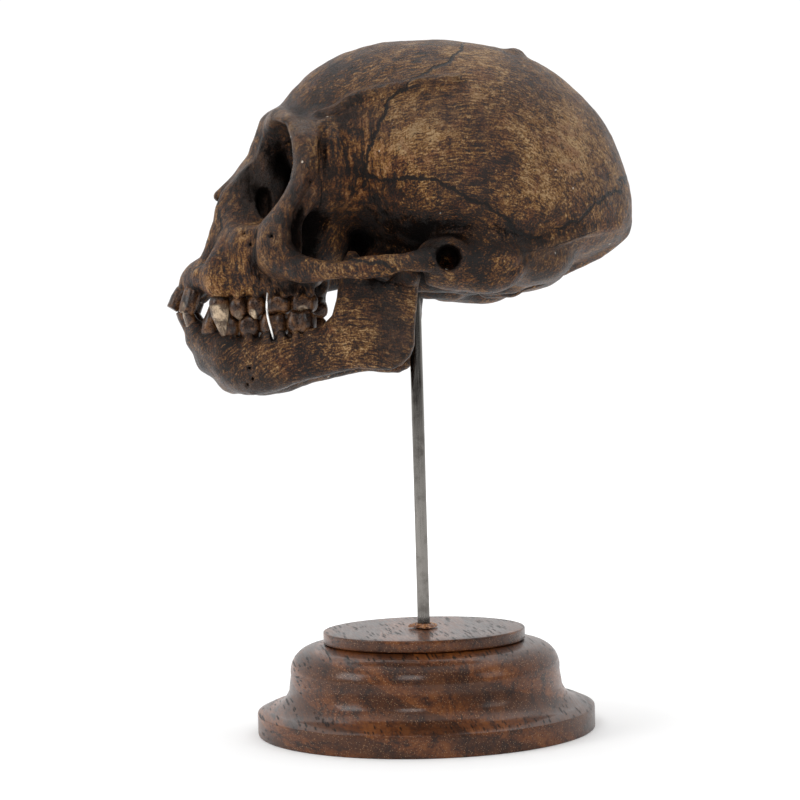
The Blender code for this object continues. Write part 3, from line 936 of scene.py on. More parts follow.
@dataclass(frozen=True)
class BoneFinish(Finish):
    """Old bone, stained in clouds of brown, worn with a painted grey sheen on its ridges, and with painted
    shade, partly dark stain, in its hollows.
    """

    name: str
    dark: Colour = stain(32, 16, 6)
    middle: Colour = stain(84, 48, 18)
    light: Colour = stain(138, 97, 47)
    # near black, for painted shade in the hollows and for dark stains, seams, cracks and pits
    black: Colour = stain(6, 3, 2)
    # grey of worn bone together with a painted sheen: light glancing off the ridges and rims, painted as
    # colour
    rubbed: Colour = stain(58, 47, 41)
    pale: Colour = stain(182, 150, 106)
    amber: Colour = stain(122, 60, 14)
    white: Colour = stain(214, 204, 190)
    fibre_centre: Pair = (10.0, 98.0)
    fibre_stretch: float = 1.5
    fibre_radius: float = 38.0
    fibre_size: Pair = (8.5, 0.40)
    dash_size: Pair = (1.8, 0.26)
    streak_size: Pair = (8.0, 1.1)
    cloud_size: float = 10.0
    blotch_size: float = 2.4
    level_shift: float = 2.43
    painted_names: tuple[str, ...] = ("hollow", "edge", "black", "pale", "upright")

    def fibre_place(self, graph: Graph, place: Signal) -> Signal:
        """Places measured along and across the bone's fibres, which arch over a low centre."""
        x, y, z = graph.parts(place)
        back = (y - self.fibre_centre[0]) / self.fibre_stretch
        up = z - self.fibre_centre[1]
        level = graph.sum("SQRT", back * back + up * up)
        return graph.join(graph.sum("ARCTAN2", back, up) * self.fibre_radius, level, x)

    def dress(self, graph: Graph, place: Signal) -> dict[str, object]:
        """Stains, fibres, seams, specks, painted shade in the hollows, a painted grey sheen on the ridges,
        and the relief of them all.
        """
        bent = graph.shaken(place, 0.35, 3.0, 1.3)
        clouds, small = self.clouds(graph, place, self.cloud_size), self.clouds(graph, bent, self.blotch_size)
        along = self.fibre_place(graph, bent)
        hollow, edge, black, pale, upright = (graph.painted(name) for name in self.painted_names)
        x, y, z = graph.parts(bent)
        streaks = (Strands.on(graph, graph.join(z, y, x), *self.streak_size)["Lines"] - 0.46) * upright
        # mask of worn bone and painted grey sheen, on the painted spots and the thin edges, broken up by
        # clouds
        rubbed = graph.painted("rubbed") + edge * 0.35
        rubbed = graph.sum("MINIMUM", rubbed * graph.between(small["Cloud"], 0.36, 0.58, 0.45, 1.0), 1.0)
        fibres = Strands.on(graph, along, *self.fibre_size)["Lines"]
        dashes = Strands.on(graph, along, *self.dash_size)["Lines"]
        weave = fibres * 0.55 + dashes * 0.45
        fibre_contrast = graph.between(graph.sum("MAXIMUM", rubbed, upright), 0.2, 0.9, 1.0, 0.25)
        weave = (weave - 0.5) * fibre_contrast + 0.5

        # the shade spots and the hollow depth darken the colour here as painted shade
        level = graph.total(
            (clouds["Cloud"], 1.05), (small["Cloud"], 0.9), (small["Grain"], 1.3), (weave, 2.4),
            (streaks, 2.3), (pale, 0.30), (edge, 0.12), (black, -0.36), (hollow, -0.26))
        shades = (self.black, self.dark, self.middle, self.light, self.pale)
        colour = graph.shades(level - self.level_shift, tuple(zip((0.08, 0.30, 0.48, 0.68, 0.92), shades)))
        patchy = graph.noise(place, 0.15, detail=5, rough=0.65, warp=0.8)
        tinted = graph.sum("MAXIMUM", graph.between(patchy, 0.50, 0.62), graph.between(streaks, 0.02, 0.14))
        colour = graph.mix(tinted * 0.60, colour, graph.mix(0.8, colour, self.amber, "OVERLAY"))
        # painted grey sheen over the worn places
        colour = graph.mix(rubbed * 0.78, colour, self.rubbed)

        # painted shade in the hollows and at the shade spots, broken up by cloudy dirt
        shade_and_dirt = graph.between(graph.total((black, 0.9), (hollow, 0.75), (small["Cloud"], 1.0), (weave, -1.3),
                                         (streaks, -1.5), (pale, -0.8)), 0.25, 0.95)
        blots = graph.between(graph.noise(bent, 0.42, detail=6, rough=0.7, warp=0.6), 0.60, 0.68, 0.0, 0.8)
        seam = self.line(graph, place, "seam", width=0.24, jag=0.6)
        crack = self.line(graph, place, "crack", width=0.07, jag=0.12)
        lines = graph.sum("MAXIMUM", graph.sum("MAXIMUM", seam, crack), self.checks(graph, bent, along))
        pits = Specks.on(graph, bent, 1.15, 0.22, 0.30)["Spots"]
        # painted shade first, then real blots, seams, cracks and pits, each drawn towards near black
        for darkening in (shade_and_dirt * 0.92, blots, lines * 0.95, pits * 0.75):
            colour = graph.mix(darkening, colour, self.black)
        chips = Specks.on(graph, bent, 2.6, 0.12, 0.05)["Spots"]
        relief = graph.total(
            (weave, 1.0), (small["Cloud"], 0.9), (small["Grain"], 1.1), (lines, -1.1), (pits, -0.7))
        return {"Base Color": graph.mix(chips * 0.85, colour, self.white),
                "Roughness": graph.between(weave, 0.35, 0.65, 0.40, 0.52) - rubbed * 0.20 + shade_and_dirt * 0.10,
                "Specular IOR Level": graph.between(shade_and_dirt, 0.0, 0.8, 0.28, 0.05),
                "Normal": graph.bump(relief, 0.85, 0.6)}

    @staticmethod
    def checks(graph: Graph, place: Signal, along: Signal) -> Signal:
        """Short dark drying cracks that follow the fibres."""
        drawn = graph.vector("MULTIPLY", along, (0.28, 1.0, 1.0))
        field = graph.noise(drawn, 0.55, detail=4, rough=0.62, warp=0.5)
        thin = graph.between(abs(field - 0.5), 0.010, 0.002)
        broken = graph.between(graph.noise(place, 0.45, detail=4, rough=0.7), 0.50, 0.60)
        return thin * broken * 0.85

    @staticmethod
    def line(graph: Graph, place: Signal, name: str, width: float, jag: float) -> Signal:
        """A dark line where the painted signed distance passes zero.

        Args:
            graph: the material's graph.
            place: places in millimetres.
            name: the painted distance; its plain form has the same name with _near.
            width: half the line's width.
            jag: how far the line wanders.
        Returns:
            1 on the line and 0 off it.
        """
        shake = graph.noise(place, 1.3, detail=3, rough=0.7) * (jag * 2) - jag
        reach = graph.between(graph.noise(place, 0.9, detail=3), 0.35, 0.65, 0.45, 1.5) * width
        on_line = graph.between(abs(graph.painted(name) + shake) - reach, width, 0.0)
        return on_line * graph.between(graph.painted(name + "_near"), 1.6, 0.9)


@dataclass(frozen=True)
class EnamelFinish(Finish):
    """Teeth stained brown from the root up, with ivory where the enamel is bare."""

    name: str = "stained enamel"
    dark: Colour = stain(20, 10, 5)
    middle: Colour = stain(50, 29, 15)
    light: Colour = stain(98, 66, 38)
    ivory_shade: Colour = stain(96, 68, 44)
    ivory: Colour = stain(186, 164, 136)

    def dress(self, graph: Graph, place: Signal) -> dict[str, object]:
        """Brown clouds under streaky ivory."""
        clouds, grime = self.clouds(graph, place, 1.9), graph.painted("grime")
        streaks = Strands.on(graph, graph.turned(place, (0, 90, 0)), 2.2, 0.35)["Lines"]
        bare = graph.mix(graph.between(streaks, 0.34, 0.50, 0.55, 1.0), self.ivory_shade, self.ivory)
        stains = graph.total((clouds["Cloud"], 1.0), (clouds["Grain"], 0.5), (grime, 0.5))
        bare = graph.mix(graph.between(stains, 0.58, 0.84, 0.0, 0.92), bare, self.middle)
        shown = graph.between(graph.painted("ivory") + (clouds["Cloud"] * 0.5 - 0.25), 0.35, 0.62)
        colour = graph.mix(shown, clouds["Colour"], bare)
        # crowns drawn darker towards the neck, where they meet the bone
        return {"Base Color": graph.mix(graph.between(grime, 0.25, 0.9, 0.0, 0.8), colour, self.dark),
                "Roughness": graph.between(clouds["Grain"], 0.35, 0.65, 0.24, 0.40),
                "Specular IOR Level": 0.30,
                "Normal": graph.bump(clouds["Cloud"] * 0.7 + streaks * 0.4, 0.35, 0.2)}


@dataclass(frozen=True)
class SteelFinish(Finish):
    """Drawn steel with fine lines along its length and faint tarnish."""

    name: str
    bright: Colour = stain(110, 107, 103)
    dull: Colour = stain(70, 66, 62)
    line_width: float = 0.18
    roughness: float = 0.10

    def dress(self, graph: Graph, place: Signal) -> dict[str, object]:
        """Metal with lines that run upwards."""
        lines = Strands.on(graph, graph.turned(place, (0, 90, 0)), 9.0, self.line_width)["Lines"]
        tarnish = graph.noise(place, 0.35, detail=5, rough=0.6)
        return {"Base Color": graph.mix(graph.between(tarnish, 0.45, 0.75, 0.0, 0.7), self.bright, self.dull),
                "Metallic": 1.0,
                "Roughness": graph.between(lines, 0.35, 0.65, self.roughness - 0.05, self.roughness + 0.07),
                "Normal": graph.bump(lines, 0.08, 0.03)}


@dataclass(frozen=True)
class WalnutFinish(Finish):
    """Lacquered open-pored dark wood, its grain running almost along X and its growth bands across it."""

    name: str = "walnut"
    dark: Colour = stain(42, 19, 6)
    middle: Colour = stain(88, 46, 17)
    light: Colour = stain(112, 64, 26)
    pore: Colour = stain(14, 6, 3)
    filled: Colour = stain(178, 142, 108)
    grain_turn: float = -11.0
    band_tilt: float = 20.0
    band_width: float = 8.5

    def dress(self, graph: Graph, place: Signal) -> dict[str, object]:
        """Growth bands, long pores that show as dots on the end grain, and the lacquer's gloss."""
        along = graph.turned(place, (self.band_tilt, 0, self.grain_turn))
        bent = graph.shaken(graph.vector("MULTIPLY", along, (0.25, 1, 1)), 0.05, 2.0, 10.0)
        ring = graph.sum("FRACT", graph.parts(bent)[2] / self.band_width)
        band = graph.between(ring, 0.0, 0.75) * graph.between(ring, 1.0, 0.93)
        clouds = self.clouds(graph, bent, 3.0)
        lines = Strands.on(graph, along, 11.0, 0.5)["Lines"]
        drawn = graph.vector("MULTIPLY", along, (0.05, 1, 1))
        end_grain = self.end_grain(graph)
        pores = Specks.on(graph, drawn, 0.66, 0.34, 0.8)["Spots"]
        pores = pores * graph.between(end_grain, 0.0, 0.8, 0.95, 0.30)
        glints = Specks.on(graph, drawn, 0.36, 0.24, 0.95)["Spots"] * end_grain
        glints = glints * graph.between(clouds["Grain"], 0.35, 0.6, 0.45, 1.0)
        colour = clouds["Colour"]
        for share, shade in ((graph.between(band, 0.25, 1.0, 0.0, 0.62), self.dark),
                             (graph.between(lines, 0.55, 0.72, 0.0, 0.5), self.light),
                             (pores, self.pore), (glints * 0.60, self.filled)):
            colour = graph.mix(share, colour, shade)
        return {"Base Color": colour,
                "Roughness": graph.between(lines, 0.3, 0.7, 0.40, 0.50),
                "Specular IOR Level": 0.20,
                "Coat Weight": graph.between(pores, 0.1, 0.6, 0.36, 0.0),
                "Coat Roughness": 0.17,
                "Normal": graph.bump(lines * 0.3 - pores * 0.8, 0.4, 0.15)}

    def end_grain(self, graph: Graph) -> Signal:
        """How squarely the surface cuts the grain, by its own normal on the still object."""
        turn = math.radians(-self.grain_turn)
        grain = (math.cos(turn), math.sin(turn), 0.0)
        normal = graph.make("ShaderNodeTexCoord", None, "Normal")
        facing = graph.vector("DOT_PRODUCT", normal, grain, output="Value")
        return graph.between(abs(facing), 0.15, 0.6)


@dataclass(frozen=True)
class GlueFinish(Finish):
    """Old brown glue, cloudy and half shiny."""

    name: str = "old glue"
    dark: Colour = stain(60, 30, 14)
    middle: Colour = stain(132, 78, 40)
    light: Colour = stain(196, 144, 92)

    def dress(self, graph: Graph, place: Signal) -> dict[str, object]:
        """Amber clouds with a lumpy skin."""
        clouds = self.clouds(graph, place, 1.2)
        return {"Base Color": clouds["Colour"],
                "Roughness": graph.between(clouds["Grain"], 0.35, 0.65, 0.30, 0.60),
                "Normal": graph.bump(clouds["Cloud"], 0.6, 0.25)}


# The cranium

@dataclass
class Cranium:
    """The upper skull: braincase, face, cheek arches and underside in one grown piece."""

    pitch: float = 0.5
    most_triangles: int = 190000
    arch_lift: float = 1.7
    case_centre: Pair = (9.0, 111.0)
    case_outline: tuple[Pair, ...] = (
        (45.2, 111.0), (43.7, 116.5), (40.4, 124.2), (33.9, 131.7), (26.7, 137.3), (19.6, 140.2),
        (10.0, 142.1), (1.7, 142.6), (-9.8, 141.6), (-18.7, 138.0), (-25.0, 132.4), (-28.2, 127.0),
        (-26.0, 119.0), (-20.0, 112.0), (-13.0, 104.0), (-6.0, 98.5), (2.0, 95.5), (12.0, 93.2), (21.0, 91.8),
        (28.0, 92.8), (33.5, 95.4), (39.5, 98.0), (43.3, 100.4), (45.1, 103.3), (45.6, 107.5))
    case_widths: tuple[Pair, ...] = (
        (-30, 17.5), (-22, 20.5), (-15, 21.8), (-6, 24.6), (3, 27.2), (12, 28.2), (20, 28.0), (29, 26.4),
        (37, 24.2), (46, 22.0))
    brain_outline: tuple[Pair, ...] = (
        (42.6, 111.0), (41.0, 116.0), (38.0, 123.2), (32.0, 129.9), (25.3, 135.0), (18.8, 137.6),
        (9.8, 139.4), (1.7, 139.9), (-9.0, 138.9), (-17.0, 135.4), (-21.5, 131.5), (-17.0, 125.5),
        (-10.5, 119.5), (-6.0, 113.0), (-2.5, 106.0), (4.0, 101.5), (12.0, 99.0), (21.0, 96.6), (27.0, 97.0),
        (32.5, 98.8), (38.0, 101.2), (41.6, 103.6))
    brain_widths: tuple[Pair, ...] = (
        (-22, 15.5), (-15, 17.5), (-6, 22.0), (3, 24.6), (12, 25.6), (20, 25.4), (29, 23.8), (37, 21.6))

    orbit_outline: tuple[Pair, ...] = (
        (-25.7, 124.3), (-24.1, 123.5), (-23.0, 119.9), (-23.2, 117.3), (-23.9, 114.6), (-24.4, 112.6),
        (-25.4, 110.5), (-26.9, 108.2), (-28.1, 106.1), (-29.4, 104.9), (-31.5, 104.9), (-34.0, 106.5),
        (-36.0, 112.0), (-34.0, 119.0), (-29.0, 123.6))
    temple_outline: tuple[Pair, ...] = (
        (-17.6, 119.0), (-17.6, 117.0), (-17.8, 114.4), (-19.4, 111.7), (-20.7, 108.5), (-22.8, 105.5),
        (-23.6, 102.6), (-23.4, 99.9), (-21.6, 98.4), (-19.6, 97.5), (-17.3, 96.7), (-14.0, 96.9),
        (-10.0, 97.8), (-8.0, 100.0), (-8.0, 115.0), (-13.0, 119.0))
    temporal_line: tuple[Pair, ...] = (
        (-17.0, 123.5), (-14.8, 125.7), (-12.8, 127.3),
        (-10.1, 128.8), (-6.9, 129.5), (0.0, 130.6), (10.0, 131.6))

    def build(self) -> bpy.types.Object:
        """Grow the cranium and paint its stains.

        Returns:
            The finished piece.
        """
        case = Case(self.case_outline, self.case_widths, self.case_centre)
        clay = Clay((-36.0, -55.0, 82.0), (36.0, 50.0, 146.0), self.pitch)
        clay.add(case, 0)
        self.add_face(clay)
        self.add_underside(clay)
        self.cut_hollows(clay)
        self.add_small_forms(clay)
        clay.settle()
        bone = clay.skin("upper_skull", self.most_triangles)
        self.roughen(bone.data, clay, case)
        self.paint_bone(bone.data, clay, case)
        settle_piece(bone, "cranium", BoneFinish("stained bone").material())
        return bone

    def add_face(self, clay: Clay) -> None:
        """Muzzle, nose, orbits, cheekbones and arches."""
        clay.add(Ball((0, -31, 98), (11.6, 12.2, 12)), 4)
        clay.add(Limb(((0, -41.0, 98.0, 3.3), (0, -44.3, 95.4, 3.3), (0, -45.8, 93.6, 2.8))), 1.5)
        clay.add(Limb(((4.4, -40.0, 98.4, 3.1), (5.0, -42.8, 95.2, 3.1))), 1.5)
        clay.add(Limb(((0, -27.5, 125, 4.6), (0, -31.2, 119, 3.2), (0, -35.2, 114.8, 2.6),
                       (0, -40.3, 111.9, 1.3))), 2.0)
        clay.add(Limb(((2.2, -34.0, 115.0, 2.0), (3.0, -38.2, 111.4, 1.6), (4.2, -39.0, 108.6, 1.8),
                       (5.2, -39.0, 106, 2.1), (5.8, -39.6, 103, 2.4), (5.8, -40.6, 99.2, 2.5))), 1.6)
        clay.add(Limb(((3.6, -32.0, 116, 2.2), (5.4, -34.5, 110, 3.0), (8.0, -35.0, 103, 4.0))), 2.5)
        clay.add(Ball((12.4, -32.6, 99.6), (4.4, 4.6, 6.0)), 3)
        clay.add(Limb(((0, -29, 120, 3.4), (0, -29, 113, 4.2), (0, -31, 106, 5.0))), 2.0)
        clay.add(Limb(((13.4, -17.6, 114.8, 11.4), (11.8, -12.5, 113.6, 9.4), (8.6, -8, 112.5, 6.0))), 3)
        clay.add(Limb(((0, -26.8, 124.8, 3.0), (7, -27.0, 125.6, 2.7), (14, -25.6, 125.4, 2.5),
                       (19.4, -23.2, 123.2, 2.4), (22.8, -20.6, 119.6, 2.4), (23.8, -19.8, 115, 2.4),
                       (23.7, -20.8, 110.8, 2.5), (22.4, -23.8, 106.6, 2.5), (18.8, -27.4, 103.2, 2.5),
                       (13, -30.4, 102.4, 2.4), (8, -32.2, 104.6, 2.2), (5.0, -32.4, 109, 2.0),
                       (4.4, -31.2, 115, 1.9), (4.8, -29.4, 120, 2.0), (7, -27.2, 125, 2.4))), 2)
        clay.add(Limb(((20.4, -19.2, 121.5, 2.2), (22.0, -19.6, 117, 2.3), (22.3, -19.8, 112.5, 2.4),
                       (22.6, -22.0, 107.5, 2.5), (23.4, -25.0, 102.5, 2.9))), 2)
        clay.add(Ball((21.5, -26.0, 99.5), (5.2, 4.0, 6.2), yaw=-30), 3)
        clay.add(Limb(((16, -29, 98, 3.3), (22.5, -25.4, 96.6, 3.5), (27, -21, 94.4, 2.9),
                       (30.2, -15, 93.7, 2.2), (31.2, -8, 94.1, 2.2), (31.4, -1, 94.6, 2.0),
                       (30.2, 3, 95.2, 2.3), (27.5, 7.5, 96.8, 2.4)), thin=0.66), 2)
        clay.add(Limb(((0, -46.1, 94.0, 2.4), (4.6, -45.1, 94.4, 2.6), (8.8, -42.6, 94.4, 2.7),
                       (11.8, -39.2, 93.4, 3.4), (13.2, -34, 93.3, 3.3), (14.4, -27, 93.4, 3.4),
                       (14.8, -22.0, 93.8, 3.3))), 2.5)
        clay.add(Limb(((9.6, -37.6, 101, 2.2), (11.6, -39.0, 96.5, 3.0), (12.4, -39.4, 92.9, 2.8))), 1.6)
        clay.add(Ball((0, -30.5, 95.5), (14, 12, 5.2)), 2)
        clay.add(Ball((9, -19.5, 102.2), (8.4, 7.2, 7.4)), 3)

    def add_underside(self, clay: Clay) -> None:
        """From the palate's rear to the nape, with the ear's bones."""
        clay.add(Limb(((0, -14, 101, 5.2), (0, 0, 96.8, 5.4), (0, 12, 94.0, 4.2))), 3)
        clay.add(Limb(((7.5, -13, 98, 2.2), (7.8, -10.5, 92, 1.8), (7.6, -10.0, 88.0, 1.3)), thin=0.66), 1.5)
        clay.add(Limb(((9.0, -7, 97, 3.2), (13, 1, 93.6, 3.6), (15.5, 8, 93.2, 3.8))), 2.5)
        clay.add(Ball((24.0, 6.5, 95.0), (5.0, 6.0, 5.2)), 3)
        clay.add(Ball((22, 14.5, 94.4), (5.8, 8.2, 5.6)), 3.5)
        clay.add(Ball((11, 22.5, 95.4), (9.2, 9.6, 4.8)), 3)
        clay.add(Limb(((6.8, 15.5, 91.8, 2.6), (7.8, 20.0, 92.2, 2.8))), 2)
        clay.add(Limb(((0, 31, 94.8, 1.6), (0, 38, 98.2, 1.7), (0, 43.2, 102.4, 1.6))), 2)

    def cut_hollows(self, clay: Clay) -> None:
        """Brain room, neck opening, orbits, nose, palate, ears, temporal hollows and the rod's socket."""
        clay.cut(Case(self.brain_outline, self.brain_widths, self.case_centre), 0.5)
        clay.cut(Limb(((0, 22.6, 84.0, 7.0), (0, 23.2, 92.0, 6.8), (0, 22.0, 101.0, 6.6))), 1.0)
        clay.cut(Limb(((16.0, -36, 115.2, 11.4), (14.2, -26, 114.8, 10.1), (12.2, -18, 114.1, 8.2),
                       (9.6, -11, 112.8, 3.9))), 0.8)
        clay.cut(Limb(((0, -49, 104.2, 2.4), (0, -42, 105, 3.0), (0, -38, 105.5, 3.8),
                       (0, -30, 105, 3.0))), 1.2)
        clay.cut(Ball((0, -28.5, 88.0), (9.2, 18, 5.2)), 1.5)
        clay.cut(Limb(((0, -3, 92, 3.0), (0, -12, 95.3, 3.8), (0, -20, 97.5, 3.0))), 1.2)
        clay.cut(Limb(((36, 7.6, 95.8, 2.3), (28, 7.3, 95.6, 2.2), (24.4, 7.0, 95.4, 1.9))), 0.6)
        clay.cut(Limb(((27.8, -13.2, 116, 2.4), (26.6, -13.2, 107, 4.2), (25.0, -13.0, 99, 5.0),
                       (24.2, -12.6, 90, 5.0))), 3)
        clay.cut(Sheet(self.orbit_outline, Course(((-40, 22.5), (-20, 22.5))), Course(((-40, 11), (-20, 11))),
                       0.1), 1.0)
        clay.cut(Sheet(self.temple_outline, Course(((-24, 28.8), (-20, 30.3), (-17, 30.4), (-8, 30.4))),
                       Course(((-24, 8.2), (-20, 6.7), (-17, 6.6), (-8, 6.6))), 0.1), 2.0)
        clay.cut(Ball((24, -1.2, 92.2), (7.5, 3.6, 3.2)), 1.5)
        clay.cut(Limb(((0, 0, 80, 1.6), (0, 0, 98.8, 1.6))), 0.3)

    def add_small_forms(self, clay: Clay) -> None:
        """Root swellings, small nerve holes, the tear pit, ridges and bumps."""
        for y, x, high in ((-35.2, 15.2, 95.5), (-31.4, 15.9, 95.5), (-28.4, 16.8, 94.0), (-25.6, 17.2, 94.0),
                           (-23.2, 17.5, 94.0), (-20.6, 17.3, 93.5)):
            clay.add(Limb(((x - 0.4, y, 90.2, 0.95), (x - 0.9, y + 0.2, high, 0.7))), 1.2)
        clay.add(Limb(((2.1, -47.4, 92.2, 1.9), (2.0, -45.4, 96.2, 1.3))), 1.2)
        clay.add(Limb(((5.9, -45.4, 91.8, 2.0), (5.4, -43.6, 96.4, 1.3))), 1.2)
        clay.add(Limb(((5.5, 22.1, 138.2, 1.4), (7.5, 21.6, 137.8, 1.3))), 2.0)
        clay.add(Limb(((20.5, 24.0, 97.0, 0.9), (17.0, 34.5, 100.4, 0.6), (9.0, 41.6, 103.0, 0.5),
                       (0.0, 43.8, 104.4, 0.5))), 2.0)
        clay.cut(Limb(((16.6, -34.0, 102.4, 0.35), (12.6, -31.5, 102.7, 0.35))), 0.3)
        clay.cut(Limb(((17.6, -32.6, 100.2, 0.32), (14.0, -30.4, 100.4, 0.32))), 0.3)
        clay.cut(Limb(((28.0, -27.6, 101.2, 0.45), (23.0, -25.8, 100.8, 0.45))), 0.3)
        clay.cut(Limb(((28.0, -19.7, 111.9, 0.45), (22.0, -19.5, 111.9, 0.4))), 0.3)
        clay.cut(Limb(((4.4, -30.5, 111.4, 1.3), (5.2, -30.4, 108.4, 1.6), (7.0, -29.8, 106.0, 1.3))), 0.5)

    def roughen(self, mesh: bpy.types.Mesh, clay: Clay, case: Case) -> None:
        """Raise the ridges, and make the surface slightly uneven and the two sides slightly unlike."""
        places, normals = vertex_places(mesh), vertex_normals(mesh)
        uneven = rough(places, (0.14, 7.0, 11), (0.10, 2.6, 12), (0.06, 1.2, 13))
        for ridge in self.ridges(case):
            uneven += ridge.rise(clay, places, normals)
        places += normals * uneven[:, None]
        x, y, z = places.T
        middle, length = -16, 8
        far_arch = ramp(-x, 20, 25) * np.exp(-((y - middle) / length) ** 2) * ramp(-z, -101, -97)
        places[:, 2] += self.arch_lift * far_arch
        move_vertices(mesh, places)

    def temporal_ridge(self, case: Case) -> Ridge:
        """The ridge along the temporal line."""
        return Ridge(case.seen(self.temporal_line, 20.0), 1.0, 0.9)

    def ridges(self, case: Case) -> list[Ridge]:
        """The temporal line, the cheekbone's edge and the grooves behind the orbit and under the nape."""
        return [
            self.temporal_ridge(case),
            Ridge(((24.0, -19.3, 112.5), (24.2, -19.2, 116.5), (23.6, -18.8, 119.4), (22.4, -18.1, 121.4),
                   (21.0, -16.8, 123.5), (19.6, -14.8, 125.6)), 0.5, 0.7),
            Ridge(((23.6, -17.0, 113.0), (23.6, -17.0, 117.0), (22.6, -16.4, 120.4)), -0.6, 0.8),
            Ridge(((24.5, -20.2, 112.0), (24.4, -19.0, 108.6), (24.6, -21.0, 105.0)), 0.30, 0.7),
            Ridge(((26.5, 20.0, 92.5), (26.2, 24.0, 94.6), (24.0, 30.0, 95.4)), -0.5, 0.8),
            Ridge(((15.4, -26.0, 97.4), (17.0, -29.6, 94.2), (16.4, -31.4, 91.0)), -0.35, 1.0),
        ]

    def case_seams(self, case: Case) -> list[Seam]:
        """The braincase's sutures, from their side views."""
        coronal = ((11.0, 140.4), (8.9, 138.6), (5.3, 137.2), (3.1, 136.0), (-0.4, 133.1), (-4.0, 130.6),
                   (-4.7, 128.1), (-7.2, 123.1), (-8.3, 119.9), (-9.0, 114.0))
        squamosal = ((-9.1, 112.9), (-5.0, 111.7), (0.0, 112.1), (5.0, 111.5), (9.1, 109.7), (11.8, 107.6),
                     (13.9, 106.5), (17.3, 104.5), (19.3, 101.7), (24.5, 99.0))
        lambdoid = ((42.6, 112.0), (40.9, 108.3), (38.6, 107.4), (35.5, 104.9), (34.1, 103.3), (29.0, 101.0))
        made = [Seam(case.seen(line, plane), wander=0.55)
                for line, plane in ((coronal, 0.0), (squamosal, 24.0), (lambdoid, 24.0))]
        made.append(Seam(((0.0, 12.6, 142.0), made[0].points[0]), wander=0.5))
        made.append(Seam(tuple((0.0, y, z) for y, z in ((12.6, 142.0), (20, 140.4), (27, 137.2), (34, 131.8),
                                                        (40.4, 124.2), (43.7, 116.5),
                                                        (44.6, 113.4))), wander=0.5))
        made.append(Seam(((0.0, 44.6, 113.4), (case.side(42.6, 112.0), 42.6, 112.0)), wander=0.5))
        return made

    def face_seams(self) -> list[Seam]:
        """The sutures of the cheek and the muzzle."""
        return [
            Seam(((24.2, -24.4, 112.6), (24.6, -22.6, 112.3), (23.6, -20.8, 112.6),
                  (22.0, -18.2, 112.0)), 0.25),
            Seam(((31.8, -12.0, 95.9), (32.4, -9.0, 94.9), (32.8, -5.0, 94.6),
                  (32.6, -3.4, 93.6)), 0.35, step=0.7),
            Seam(((7.8, -40.6, 109.0), (9.2, -38.6, 104.0), (9.6, -40.4, 98.0), (8.2, -44.0, 93.0)), 0.25),
            Seam(((18.0, -31.4, 103.0), (19.0, -30.8, 99.0), (18.6, -29.6, 95.4)), 0.3),
        ]

    def cracks(self) -> list[Seam]:
        """Thin cracks of the temple and the rear."""
        return [
            Seam(((21.5, -15.4, 123.2), (22.6, -17.0, 120.8), (22.6, -17.2, 113.4),
                  (22.4, -17.4, 106.0)), 0.06),
            Seam(((20, 42.0, 97.6), (24, 36.0, 96.6), (25, 30.0, 95.0)), 0.2),
            Seam(((26.8, 20.4, 100.4), (27.0, 25.6, 97.0), (26.4, 30.0, 95.6)), 0.3),
        ]

    def paint_bone(self, mesh: bpy.types.Mesh, clay: Clay, case: Case) -> None:
        """Paint seams, stains, wear with a painted sheen, and painted shade on the vertices."""
        places, normals = vertex_places(mesh), vertex_normals(mesh)
        seams = both_sides([seam.trace(clay, 20 + order)
                            for order, seam in enumerate(self.case_seams(case) + self.face_seams())])
        cracks = [seam.trace(clay, 50 + order) for order, seam in enumerate(self.cracks())]
        paint_lines(mesh, places, normals, {"seam": seams, "crack": cracks})
        paint_wear(mesh, clay, places, normals)
        uneven = 1 + 0.35 * lumps(places, 4.0, 31)
        paint(mesh, "pale", np.clip(uneven * spots(places,
            (24, -2.0, 119.0, 9, 7.5, 7.0, 0.75), (24, 30, 116, 14, 10, 9, 1.15),
            (22.6, 7.0, 94.6, 2.2, 1.6, 1.6, 2.2), (21.6, -27.6, 104.1, 0.8, 0.8, 0.8, 3.0),
            (14, -26, 107.5, 9, 6, 4.0, 0.8), (30, -18, 95.0, 6, 8, 3.0, 0.30),
            (22, -26, 98, 6, 5, 3.5, 0.35), (20, 10, 133, 16, 16, 9, 0.25),
            (9, -46, 100, 5, 3.0, 4.0, 0.35)), 0, 1))
        crest = self.temporal_ridge(case).rise(clay, places, normals) * 0.8
        temple = spots(places, (22, -10, 114, 8, 9, 14, 1.3), (24, -16, 104, 6, 8, 8, 1.0))
        paint(mesh, "upright", np.clip(temple + 0.55 * ramp(-places[:, 1], 20, 26), 0, 1))
        # painted grey sheen, partly real wear, along the temporal ridge, brow, orbit rims, nose and cheek
        paint(mesh, "rubbed", np.clip(crest + uneven * spots(places,
            (10, -26.5, 128, 16, 6, 5, 0.9), (23, -22, 113, 4, 4.5, 10, 1.2), (21, -21, 121, 5, 4.5, 5, 1.2),
            (4.5, -31.5, 114, 4, 4.5, 10, 1.1), (21, -26, 99, 6, 4.5, 7, 1.0), (26, 5, 124, 8, 12, 6, 0.35),
            (20, -27, 103, 9, 4, 4, 0.6), (4, -35, 116, 5, 5, 8, 0.75), (22, 33, 96.0, 10, 14, 4, 0.65),
            (20, -14, 126, 3, 5, 4, 0.7), (10, -38.5, 103, 4, 4, 6, 0.5)), 0, 1))
